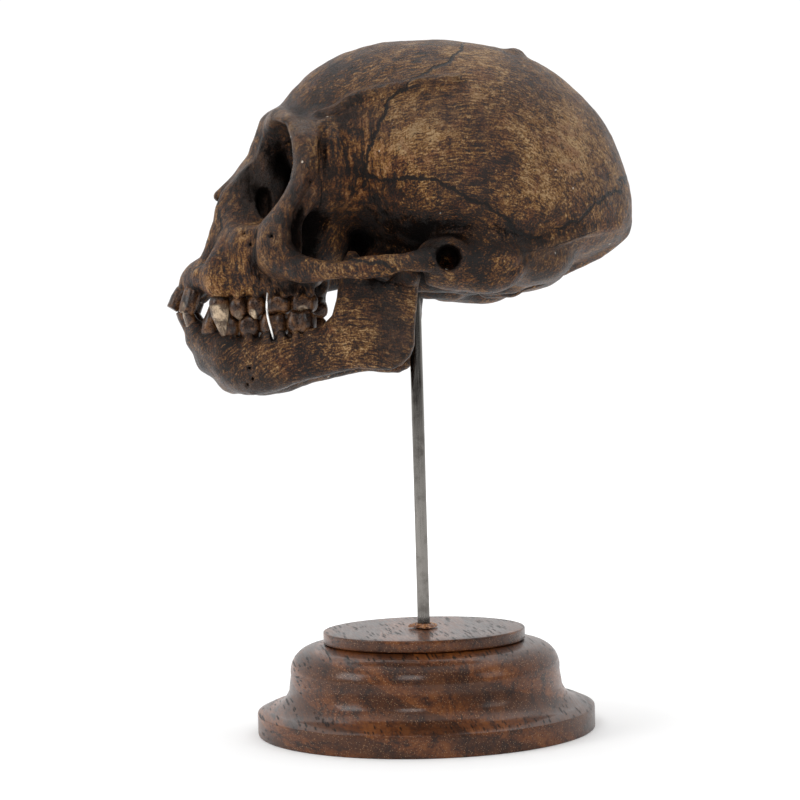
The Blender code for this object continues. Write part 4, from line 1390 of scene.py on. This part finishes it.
        # painted shade in the orbits, nose, temple hollows, ear, under the cheek and inside the braincase,
        # with some dark stain
        paint(mesh, "black", np.clip(uneven * spots(places,
            (11, -17, 116, 10, 10, 8.0, 1.35), (7, -28, 119, 6, 6, 7, 1.0), (5, -33, 112, 4, 5, 8, 0.9),
            (16, -31, 96.5, 4, 2.4, 4, 0.9), (24, -17, 100, 7, 7, 7, 1.2), (18, -20, 106, 5, 5, 9, 1.1),
            (29.5, 7, 97.0, 4.5, 7.0, 6, 0.95), (20, -4, 103, 10, 10, 6, 0.8),
            (22, -16.2, 117, 4, 1.2, 5, 0.4), (0, -36, 105, 5, 8, 6, 1.2), (12, -20, 90.5, 10, 12, 3.0, 0.7),
            (0, 5, 112, 16, 20, 14, 1.2), (0, 8, 90, 14, 16, 6, 0.5), (26, 20, 101, 4, 6, 4, 0.5)), 0, 1.3))


# The mandible

@dataclass
class Mandible:
    """The lower jaw in one grown piece, from the chin to its two joints."""

    pitch: float = 0.4
    most_triangles: int = 130000
    outline: tuple[Pair, ...] = (
        (-41.4, 81.4), (-40.8, 77.0), (-37.6, 72.4), (-33.0, 70.5), (-26.0, 71.6), (-20.8, 73.0),
        (-15.1, 74.2), (-11.0, 74.8), (-7.2, 74.4), (-4.4, 74.3), (-2.4, 75.2), (-0.6, 77.0), (0.2, 79.2),
        (0.6, 84.0), (1.3, 89.5), (1.6, 93.2), (-3.2, 92.8), (-5.4, 91.4), (-7.6, 92.6), (-9.4, 96.0),
        (-10.8, 98.0), (-12.4, 98.2), (-13.9, 96.0), (-14.5, 92.0), (-14.8, 89.0), (-15.9, 85.6),
        (-17.8, 83.0), (-21.0, 81.8), (-34.0, 81.8), (-38.0, 81.8))
    middle: tuple[Pair, ...] = ((-44, 5.0), (-41, 8.4), (-36, 11.4), (-30, 13.7), (-22, 16.2), (-15, 19.2),
                                (-8, 21.8), (2, 24.0))
    half: tuple[Pair, ...] = ((-44, 2.8), (-36, 3.1), (-26, 3.1), (-20, 2.9), (-14, 2.3), (-8, 1.9),
                              (-2, 1.65), (2, 1.6))

    def build(self) -> bpy.types.Object:
        """Grow the lower jaw and paint its stains.

        Returns:
            The finished piece.
        """
        clay = Clay((-31.0, -53.0, 66.0), (31.0, 6.0, 103.0), self.pitch)
        clay.add(Sheet(self.outline, Course(self.middle), Course(self.half)), 0)
        clay.add(Limb(((0, -45.4, 82.2, 2.7), (4.4, -44.5, 82.0, 2.8), (8.0, -41.8, 81.0, 2.9),
                       (10.4, -38.4, 79.8, 3.1))), 2.5)
        clay.add(Limb(((0, -42.7, 78.2, 3.5), (4.6, -41.6, 78.0, 3.5), (8.6, -38.4, 77.0, 3.4))), 2.5)
        clay.add(Limb(((0, -46.8, 84.4, 1.6), (3.4, -46.3, 84.3, 1.6), (6.2, -44.8, 84.0, 1.6))), 1.5)
        clay.add(Limb(((0, -38.4, 74.2, 3.5), (5.0, -37.4, 74.0, 3.5), (9.6, -34.2, 73.8, 3.3),
                       (12.8, -29.0, 74.3, 2.8))), 3.0)
        clay.add(Limb(((20.5, -0.8, 92.6, 2.0), (23.4, -0.8, 92.8, 2.1), (26.2, -0.4, 92.3, 1.9))), 1.5)
        self.add_small_forms(clay)
        clay.settle()
        bone = clay.skin("lower_jaw", self.most_triangles)
        places, normals = vertex_places(bone.data), vertex_normals(bone.data)
        uneven = rough(places, (0.09, 6.0, 61), (0.09, 2.2, 62), (0.06, 1.1, 63))
        move_vertices(bone.data, places + normals * uneven[:, None])
        self.paint_bone(bone.data, clay)
        settle_piece(bone, "mandible", BoneFinish(
            "stained jawbone", dark=stain(28, 14, 6), middle=stain(72, 41, 17), light=stain(124, 86, 44),
            fibre_centre=(-14.0, 60.0), fibre_stretch=1.3).material())
        return bone

    def add_small_forms(self, clay: Clay) -> None:
        """Root ridges, the chin's bumps, the hollow for the chewing muscle and the small nerve holes."""
        for x, y, z, low in ((1.7, -46.9, 85.2, 79.5), (4.9, -46.0, 85.0, 79.5), (8.5, -42.6, 84.4, 77.5)):
            clay.add(Limb(((x, y + 0.7, z, 1.3), (x * 0.98, y + 3.2, low, 1.0))), 1.0)
        for y, x in ((-37.2, 12.4), (-33.2, 14.8), (-29.4, 16.6), (-26.4, 17.4), (-23.4, 18.6),
                     (-20.4, 19.6)):
            clay.add(Limb(((x - 0.6, y, 82.0, 1.0), (x - 0.4, y, 78.6, 0.6))), 1.2)
        clay.add(Limb(((17.6, -20.0, 80.6, 1.6), (20.4, -14.6, 84.0, 1.1), (21.4, -13.4, 90.0, 0.8))), 2.0)
        clay.cut(Ball((25.4, -7.0, 83.5), (2.3, 5.4, 6.4), yaw=-20), 2.0)
        for y, z, x in ((-33.9, 75.6, 15.2), (-33.2, 73.4, 15.0), (-34.4, 72.3, 14.0)):
            clay.cut(Limb(((x + 1.6, y + 0.6, z, 0.32), (x - 2.0, y + 1.0, z, 0.32))), 0.3)
        clay.cut(Limb(((21.0, -25.3, 82.3, 0.65), (15.0, -24.6, 82.3, 0.6))), 0.3)
        clay.cut(Limb(((20.0, -28.5, 81.8, 0.65), (14.0, -27.8, 81.2, 0.6))), 0.3)

    def paint_bone(self, mesh: bpy.types.Mesh, clay: Clay) -> None:
        """Paint stains, wear with a painted sheen, and painted shade on the vertices."""
        places, normals = vertex_places(mesh), vertex_normals(mesh)
        midline = [Seam(((0, -46.8, 80.0), (0, -44.6, 76.0), (0, -41.0, 72.6)), 0.15).trace(clay, 71)]
        root = Seam(((9.8, -44.0, 86.0), (10.2, -42.6, 81.4), (10.8, -41.0, 78.6)), 0.1)
        ridge = both_sides([root.trace(clay, 72)])
        paint_lines(mesh, places, normals, {"seam": midline, "crack": ridge})
        paint_wear(mesh, clay, places, normals)
        paint(mesh, "upright", np.zeros(len(places)))
        uneven = 1 + 0.35 * lumps(places, 3.5, 81)
        paint(mesh, "pale", np.clip(uneven * spots(places,
            (22, -13, 80, 6, 8, 5, 0.55), (20, -16, 86, 4, 3, 5, 0.45), (16, -30, 78, 5, 6, 3, 0.30)), 0, 1))
        # painted grey sheen, partly real wear, on the jaw's lower edge, the ramus and the chin
        paint(mesh, "rubbed", np.clip(uneven * spots(places,
            (14, -30, 71.5, 10, 12, 2.5, 0.6), (24, -3, 80, 3, 4, 8, 0.55),
            (8, -41, 76, 6, 4, 6, 0.5)), 0, 1))
        # painted shade at the top of the ramus, along the tooth row and behind the chin, with some dark stain
        paint(mesh, "black", np.clip(uneven * spots(places,
            (24, -8, 93, 6, 10, 5, 0.9), (12, -28, 84, 10, 18, 2.2, 0.9), (24, -6, 86, 4, 5, 5, 0.45),
            (0, -36, 78, 8, 6, 6, 0.6)), 0, 1.3))


# Teeth

@dataclass(frozen=True)
class Tooth:
    """A tooth of the left side: its neck and tip, its size along and across the row, and its row's turn.

    The one on the right side mirrors it, standing further forward by lead.
    """

    name: str
    kind: Kind
    neck: Point
    tip: Point
    width: float
    depth: float
    root: float
    turn: float
    ivory: float = 0.0
    bare: Pair = (0.12, 0.35)
    bare_place: float = 0.0
    lead: float = 0.0


@dataclass
class ToothForms:
    """The four tooth forms, each modelled once, one unit wide, deep and high, with its root one unit down."""

    sides: int = 20
    models: dict[Kind, bpy.types.Object] = field(default_factory=dict)

    def rings(self, kind: Kind) -> list[Pair]:
        """Radius and height of each ring from the root's tip to the crown's top."""
        crowns = {
            Kind.INCISOR: ((0.0, 0.36), (0.08, 0.45), (0.25, 0.47), (0.5, 0.5), (0.75, 0.5), (0.92, 0.48)),
            Kind.CANINE: ((0.0, 0.44), (0.06, 0.5), (0.2, 0.51), (0.4, 0.47), (0.6, 0.39), (0.8, 0.27),
                          (0.93, 0.16)),
            Kind.PREMOLAR: ((0.0, 0.37), (0.1, 0.44), (0.3, 0.49), (0.5, 0.5), (0.7, 0.47), (0.82, 0.43)),
            Kind.MOLAR: ((0.0, 0.38), (0.1, 0.45), (0.3, 0.5), (0.5, 0.5), (0.68, 0.48), (0.8, 0.44)),
        }
        root = [(0.14, -1.0), (0.22, -0.8), (0.30, -0.4), (0.345, -0.1)]
        crown = [(radius, height) for height, radius in crowns[kind]]
        top = [(crown[-1][0] * share, crown[-1][1]) for share in (0.86, 0.68, 0.46, 0.24, 0.08)]
        return root + crown + top

    def model(self, kind: Kind) -> bpy.types.Object:
        """The form of one kind, kept out of sight for copies."""
        if kind in self.models:
            return self.models[kind]
        rings = [(radius / MM, height / MM) for radius, height in self.rings(kind)]
        item = stack_rings(f"{kind.value}_form", self.sides, rings)
        places = vertex_places(item.data) * MM
        move_vertices(item.data, self.shape(kind, places) / MM)
        pick_only(item)
        smooth = item.modifiers.new("rounded", "SUBSURF")
        smooth.levels = smooth.render_levels = 1
        bpy.ops.object.modifier_apply(modifier=smooth.name)
        self.models[kind] = item
        return item

    def shape(self, kind: Kind, places: Array) -> Array:
        """Bend the turned form into its kind's own crown.

        Args:
            kind: which tooth it is.
            places: the turned form's vertices.
        Returns:
            The shaped vertices; x runs along the row, y outwards from the tongue, z to the tip.
        """
        x, y, z = places.T.copy()
        crown = ramp(z, 0.0, 0.35)
        top = ramp(z, 0.45, 0.9)
        if kind is Kind.INCISOR:
            blade = 1 - 0.42 * ramp(z, 0.2, 1.0)
            y = y * blade + 0.10 * ramp(z, 0.2, 1.0)
            z = z + 0.08 * top * (1 - (x / 0.5) ** 2)
        elif kind is Kind.CANINE:
            groove = np.exp(-((x - 0.14) / 0.10) ** 2) * ramp(-y, -0.1, 0.4)
            y = y - 0.07 * groove * crown * np.sign(y + 1e-9) - 0.10 * ramp(z, 0.3, 1.0)
            z = z + 0.07 * ramp(z, 0.8, 0.93)
            x = x + 0.06 * ramp(z, 0.3, 1.0)
        else:
            square = 1 + crown * 0.10 * np.sin(2 * np.arctan2(y, x)) ** 2
            x, y = x * square, y * square
            z = z + top * self.cusps(kind, x, y)
            waist = np.exp(-(x / 0.16) ** 2) * crown if kind is Kind.MOLAR else 0.0
            y = y * (1 - 0.16 * waist)
        return np.column_stack((x, y, z))

    @staticmethod
    def cusps(kind: Kind, x: Array, y: Array) -> Array:
        """Height of the chewing face over its rim."""
        if kind is Kind.PREMOLAR:
            peaks = ((0.0, 0.20, 0.36, 0.16), (0.0, -0.22, 0.22, 0.14))
        else:
            peaks = ((-0.22, 0.22, 0.32, 0.13), (0.22, 0.22, 0.30, 0.13), (-0.22, -0.22, 0.28, 0.13),
                     (0.22, -0.22, 0.26, 0.13))
        rise = sum(high * np.exp(-((x - px) ** 2 + (y - py) ** 2) / (2 * spread ** 2))
                   for px, py, high, spread in peaks)
        return rise - 0.16 * np.exp(-(x ** 2 + y ** 2) / 0.03)


@dataclass
class ToothRow:
    """Every tooth of one jaw, on both sides."""

    teeth: tuple[Tooth, ...]
    forms: ToothForms

    def build(self) -> None:
        """Place a copy of the right form for each tooth of each side."""
        material = EnamelFinish().material()
        for side in Side:
            for tooth in self.teeth:
                node = f"{tooth.name}_{side.label}"
                item = self.place(tooth, side)
                item.name = item.data.name = f"shaped_{node}"
                settle_piece(item, node, material)

    def place(self, tooth: Tooth, side: Side) -> bpy.types.Object:
        """Copy a tooth's form into its place.

        Args:
            tooth: the tooth.
            side: its side.
        Returns:
            The placed object, its place in its mesh.
        """
        model = self.forms.model(tooth.kind)
        item = model.copy()
        item.data = model.data.copy()
        bpy.context.scene.collection.objects.link(item)
        ahead = tooth.lead if side.value < 0 else 0.0
        neck, tip = (np.array((x * side.value, y - ahead, z)) for x, y, z in (tooth.neck, tooth.tip))
        length = np.linalg.norm(tip - neck)
        axis = (tip - neck) / length
        turn = math.radians(tooth.turn)
        along = np.array((math.sin(turn) * side.value, math.cos(turn), 0.0))
        along = along - axis * (along @ axis)
        along /= np.linalg.norm(along)
        outward = np.cross(along, axis)
        if outward[0] * side.value + (-outward[1]) * math.sin(turn) < 0:
            outward = -outward
        wander = np.random.default_rng(sum(map(ord, tooth.name)) + int(side.value)).integers(0, 1000)
        x, y, z = (vertex_places(item.data) * MM).T
        high = np.where(z > 0, z * length, z * tooth.root)
        places = (neck + np.outer(x * tooth.width, along) + np.outer(y * tooth.depth, outward)
                  + np.outer(high, axis))
        lumpy = rough(places + wander, (0.09, 1.1, 91), (0.05, 0.6, 92))
        off = places - neck - np.outer((places - neck) @ axis, axis)
        off /= np.linalg.norm(off, axis=1, keepdims=True) + 0.2
        move_vertices(item.data, places + off * (lumpy * ramp(z, 0.0, 0.2))[:, None])
        face = ramp(y, -0.2, 0.3) * ramp(z, *tooth.bare)
        if tooth.kind is not Kind.CANINE:
            face *= np.exp(-((x - tooth.bare_place) / 0.26) ** 2)
        paint(item.data, "ivory", face * tooth.ivory)
        # 1 at the neck, fading out a sixth of the way up the crown
        paint(item.data, "grime", 1 - ramp(z, 0.0, 0.16))
        if np.linalg.det(np.column_stack((along, outward, axis))) < 0:
            item.data.flip_normals()
        return item


# Metal, wood and glue

@dataclass
class JawWire:
    """The bright wire that ties the jaws shut, bent over from the upper bone into its hole in the lower."""

    radius: float = 0.26
    route: tuple[Point, ...] = (
        (15.6, -28.9, 91.9), (17.0, -29.0, 90.3), (18.0, -29.1, 88.6), (18.3, -29.1, 86.6),
        (18.1, -28.8, 84.6), (17.4, -28.4, 83.0), (16.9, -28.2, 81.9), (16.2, -28.1, 81.1))

    def build(self) -> None:
        """Make one wire on each side."""
        finish = SteelFinish("bright wire", bright=stain(240, 238, 234), roughness=0.30, line_width=0.06)
        material = finish.material()
        for side in Side:
            bpy.ops.object.select_all(action="DESELECT")
            bpy.ops.curve.primitive_nurbs_path_add()
            wire = bpy.context.active_object
            curve = wire.data
            curve.splines.clear()
            spline = curve.splines.new("NURBS")
            spline.points.add(len(self.route) - 1)
            for point, (x, y, z) in zip(spline.points, self.route):
                point.co = (x * side.value * MM, y * MM, z * MM, 1.0)
            spline.order_u = 4
            spline.use_endpoint_u = True
            spline.resolution_u = 6
            curve.bevel_depth = self.radius * MM
            curve.bevel_resolution = 4
            curve.use_fill_caps = True
            bpy.ops.object.convert(target="MESH")
            wire = bpy.context.active_object
            wire.name = wire.data.name = f"tie_{side.label}"
            bpy.ops.object.shade_smooth()
            settle_piece(wire, f"jaw_wire_{side.label}", material)


@dataclass
class Rod:
    """The upright, a plain steel rod with its ends eased."""

    radius: float = 1.3
    foot: float = 9.0
    top: float = 98.5
    ease: float = 0.2

    def build(self) -> None:
        """Draw the rod up from its foot."""
        rings = [(self.radius - self.ease, self.foot), (self.radius, self.foot + self.ease)]
        lengths = 12
        span = self.top - self.foot - 2 * self.ease
        rings += [(self.radius, self.foot + self.ease + span * step / lengths)
                  for step in range(1, lengths + 1)]
        rings.append((self.radius - self.ease, self.top))
        rod = stack_rings("upright", 48, rings)
        settle_piece(rod, "rod", SteelFinish("drawn steel").material())


@dataclass
class Stand:
    """The turned base: a disc on a rounded shoulder, a cove and a plate, with the rod's hole in its top."""

    radius: float = 35.0
    height: float = 20.65
    disc_radius: float = 21.0
    disc_bottom: float = 18.2
    plate_top: float = 4.45
    hole_radius: float = 1.6
    hole_floor: float = 8.7
    sides: int = 160

    def profile(self) -> list[Pair]:
        """Radius and height from the underside's middle out and up to the hole's floor."""
        plate = [(2.0, 0.0), (self.radius - 0.6, 0.0)] + arc((self.radius - 0.3, 0.3), 0.3, -90, 0, 3)
        plate += [(self.radius, self.plate_top * 0.5)]
        plate += arc((self.radius - 0.2, self.plate_top - 0.2), 0.2, 0, 80, 3)
        cove = arc((33.3, 10.4), 5.2, 268, 199, 12)
        shoulder = arc((23.0, 12.6), 5.0, -8, 80, 14)
        disc = [(self.disc_radius - 0.75, self.disc_bottom - 0.05),
                (self.disc_radius - 0.55, self.disc_bottom)]
        disc += arc((self.disc_radius - 0.25, self.disc_bottom + 0.3), 0.25, -80, 0, 3)
        disc += arc((self.disc_radius - 0.3, self.height - 0.3), 0.3, 0, 90, 4)
        top = [(radius, self.height) for radius in (17.0, 12.0, 7.0, 3.0)]
        hole = [(self.hole_radius + 0.2, self.height), (self.hole_radius, self.height - 0.2),
                (self.hole_radius, self.hole_floor)]
        return plate + cove + shoulder + disc + top + hole

    def build(self) -> None:
        """Turn the base from its profile."""
        base = stack_rings("turned_base", self.sides, self.profile())
        settle_piece(base, "base", WalnutFinish().material())


@dataclass
class GlueRing:
    """The low crumbly ring of old glue round the rod's foot."""

    inner: float = 1.6
    outer: float = 2.9
    floor: float = 20.95
    height: float = 0.8
    sides: int = 64

    def build(self) -> None:
        """Turn a low ring and push it into lumps."""
        rings = [(self.inner, self.floor), (self.outer, self.floor), (self.outer - 0.1, self.floor + 0.2)]
        rings += [(self.outer - 0.35, self.floor + 0.45), (self.outer - 0.7, self.floor + 0.65),
                  (self.outer - 1.0, self.floor + self.height), (self.inner, self.floor + self.height * 0.9),
                  (self.inner, self.floor)]
        ring = stack_rings("crumbs", self.sides, rings)
        bpy.ops.object.mode_set(mode="EDIT")
        bpy.ops.mesh.select_all(action="DESELECT")
        bpy.ops.mesh.select_face_by_sides(number=4, type="GREATER")
        bpy.ops.mesh.delete(type="ONLY_FACE")
        bpy.ops.mesh.select_all(action="SELECT")
        bpy.ops.mesh.remove_doubles(threshold=0.001 * MM)
        bpy.ops.mesh.normals_make_consistent(inside=False)
        bpy.ops.object.mode_set(mode="OBJECT")
        places = vertex_places(ring.data)
        reach = np.hypot(places[:, 0], places[:, 1])
        angle = np.arctan2(places[:, 1], places[:, 0])
        lump = 1 + 0.14 * np.sin(3 * angle + 0.4) + 0.09 * np.sin(7 * angle) + 0.10 * lumps(places, 0.7, 95)
        free = ramp(reach, self.inner + 0.05, self.inner + 0.6)
        grow = np.where(free > 0, 1 + (lump - 1) * free, 1.0)
        places[:, :2] *= grow[:, None]
        rise = places[:, 2] - self.floor
        places[:, 2] = self.floor + rise * (1 + 0.35 * free * lumps(places, 0.9, 96)) * 0.92
        move_vertices(ring.data, places)
        settle_piece(ring, "glue", GlueFinish().material())


# The studio

@dataclass
class Studio:
    """A white floor, a white room, soft lights and the camera at the photograph's place."""

    lens: float = 85.05
    yaw: float = -0.53
    pitch: float = 0.1
    roll: float = -1.61
    round_object: float = 1.2
    wall_light: float = 1.05
    room_light: float = 0.20
    floor_glow: float = 0.5
    glow_reach: Pair = (0.05, 0.35)
    aim: Point = (0, 0, 0.09)
    boxes: tuple[tuple[str, Point, float, float], ...] = (
        ("front box", (0.70, -0.15, 0.50), 0.26, 1.3), ("left box", (0.30, -0.75, 0.40), 0.36, 2.4),
        ("right box", (0.40, 0.75, 0.40), 0.34, 0.9), ("top box", (-0.1, 0.0, 1.6), 2.4, 18.0))

    def build(self) -> None:
        """Put up the floor, the lights and the camera."""
        self.lay_floor()
        self.light_room()
        self.place_camera()
        bpy.context.scene.view_settings.view_transform = "Standard"

    def lay_floor(self) -> None:
        """A wide white floor that glows away from the stand, so that no horizon shows."""
        floor = new_primitive("studio_floor", bpy.ops.mesh.primitive_plane_add, size=8.0, location=(0, 0, 0))
        white = bpy.data.materials.new("studio white")
        white.use_nodes = True
        graph = Graph(white.node_tree)
        away = graph.vector("LENGTH", graph.make("ShaderNodeTexCoord", None, "Object"), output="Value")
        graph.fill(white.node_tree.nodes["Principled BSDF"], {
            "Base Color": (0.93, 0.93, 0.93), "Roughness": 0.9, "Specular IOR Level": 0.0,
            "Emission Color": (1.0, 1.0, 1.0),
            "Emission Strength": graph.between(away, *self.glow_reach, 0.0, self.floor_glow)})
        floor.data.materials.append(white)

    def light_room(self) -> None:
        """A white room, lighter behind the skull than beside the camera, with its soft boxes."""
        world = bpy.data.worlds.new("white room")
        world.use_nodes = True
        graph = Graph(world.node_tree)
        across = graph.parts(graph.make("ShaderNodeTexCoord", None, "Generated"))[0]
        graph.fill(world.node_tree.nodes["Background"], {
            "Color": (1.0, 1.0, 1.0),
            "Strength": graph.between(across, -0.3, 0.4, self.wall_light, self.room_light)})
        bpy.context.scene.world = world
        for box in self.boxes:
            self.add_box(*box)

    def add_box(self, name: str, place: Point, size: float, power: float) -> None:
        """Hang one square soft box, in metres and watts, that faces the skull."""
        lamp = bpy.data.lights.new(name, "AREA")
        lamp.size = size
        lamp.energy = power
        item = bpy.data.objects.new(name, lamp)
        item.location = place
        item.rotation_mode = "QUATERNION"
        item.rotation_quaternion = (Vector(self.aim) - Vector(place)).to_track_quat("-Z", "Y")
        bpy.context.scene.collection.objects.link(item)

    def place_camera(self) -> None:
        """Look along -X at the skull's left side, turned and rolled as in the photograph."""
        yaw, pitch, roll = (math.radians(angle) for angle in (self.yaw, self.pitch, self.roll))
        ahead = Vector((-math.cos(yaw) * math.cos(pitch), math.sin(yaw) * math.cos(pitch), -math.sin(pitch)))
        right = ahead.cross(Vector((0, 0, 1))).normalized()
        up = right.cross(ahead)
        turned_right = math.cos(roll) * right + math.sin(roll) * up
        turned_up = -math.sin(roll) * right + math.cos(roll) * up
        place = Matrix((turned_right, turned_up, -ahead)).transposed().to_4x4()
        place.translation = Vector((CAMERA_AWAY * MM, 0, CAMERA_HEIGHT * MM))
        camera = bpy.data.cameras.new("photo camera")
        camera.lens = self.lens
        camera.sensor_width = 36.0
        camera.clip_start, camera.clip_end = 0.01, 20.0
        item = bpy.data.objects.new("photo camera", camera)
        item.matrix_world = Matrix.Rotation(math.radians(self.round_object), 4, "Z") @ place
        bpy.context.scene.collection.objects.link(item)
        bpy.context.scene.camera = item


UPPER_TEETH = (
    Tooth("upper_incisor_1", Kind.INCISOR, (2.2, -47.5, 92.6), (2.3, -50.2, 88.3), 4.3, 4.2, 4.2, 86, 0.55,
          (0.25, 0.7)),
    Tooth("upper_incisor_2", Kind.INCISOR, (6.3, -45.2, 92.6), (6.7, -46.8, 87.1), 4.6, 3.7, 4.2, 42, 0.62,
          (0.2, 0.8), lead=1.0),
    Tooth("upper_canine", Kind.CANINE, (12.3, -39.3, 90.0), (12.8, -38.8, 82.2), 4.5, 3.8, 5.4, 24, 1.0,
          (0.0, 0.4)),
    Tooth("upper_premolar_1", Kind.PREMOLAR, (13.2, -35.3, 89.9), (13.4, -34.8, 85.7), 4.1, 4.8, 4.6, 12,
          0.75, (0.45, 0.8)),
    Tooth("upper_premolar_2", Kind.PREMOLAR, (13.9, -31.4, 89.9), (14.1, -31.6, 85.7), 4.1, 5.0, 4.6, 8, 0.85,
          (0.45, 0.8), -0.1),
    Tooth("upper_molar_1", Kind.MOLAR, (14.4, -26.9, 90.0), (14.6, -26.9, 86.3), 5.5, 5.6, 4.8, 5),
    Tooth("upper_molar_2", Kind.MOLAR, (14.8, -21.9, 90.3), (15.0, -21.9, 86.4), 5.5, 5.6, 4.8, 3, 0.75,
          (0.5, 0.8)),
)
LOWER_TEETH = (
    Tooth("lower_incisor_1", Kind.INCISOR, (1.75, -45.8, 82.6), (1.8, -48.7, 88.2), 3.4, 3.4, 4.6, 80, 0.6,
          (0.1, 0.6)),
    Tooth("lower_incisor_2", Kind.INCISOR, (5.0, -44.7, 82.4), (5.2, -46.7, 87.9), 3.5, 3.4, 4.6, 58, 0.75,
          (0.1, 0.6)),
    Tooth("lower_canine", Kind.CANINE, (8.9, -41.9, 82.6), (9.3, -41.5, 88.9), 3.7, 3.3, 5.0, 35),
    Tooth("lower_premolar_1", Kind.PREMOLAR, (11.3, -37.6, 82.2), (11.6, -37.2, 86.2), 4.8, 3.9, 4.8, 18),
    Tooth("lower_premolar_2", Kind.PREMOLAR, (12.9, -33.1, 82.0), (13.0, -33.0, 86.2), 4.9, 4.3, 4.8, 12),
    Tooth("lower_molar_1", Kind.MOLAR, (14.3, -28.1, 81.8), (14.3, -28.1, 86.6), 5.9, 4.8, 5.0, 12),
    Tooth("lower_molar_2", Kind.MOLAR, (16.0, -22.5, 82.0), (15.7, -22.3, 86.9), 6.0, 5.0, 5.0, 16, 0.35,
          (0.6, 0.9)),
)


def main() -> None:
    """Build the studio and every piece in order."""
    logging.basicConfig(level=logging.INFO, format="%(message)s")
    Studio().build()
    Cranium().build()
    Mandible().build()
    forms = ToothForms()
    for teeth in (UPPER_TEETH, LOWER_TEETH):
        ToothRow(teeth, forms).build()
    for model in forms.models.values():
        bpy.data.objects.remove(model)
    JawWire().build()
    Rod().build()
    Stand().build()
    GlueRing().build()


if __name__ == "__main__":
    main()
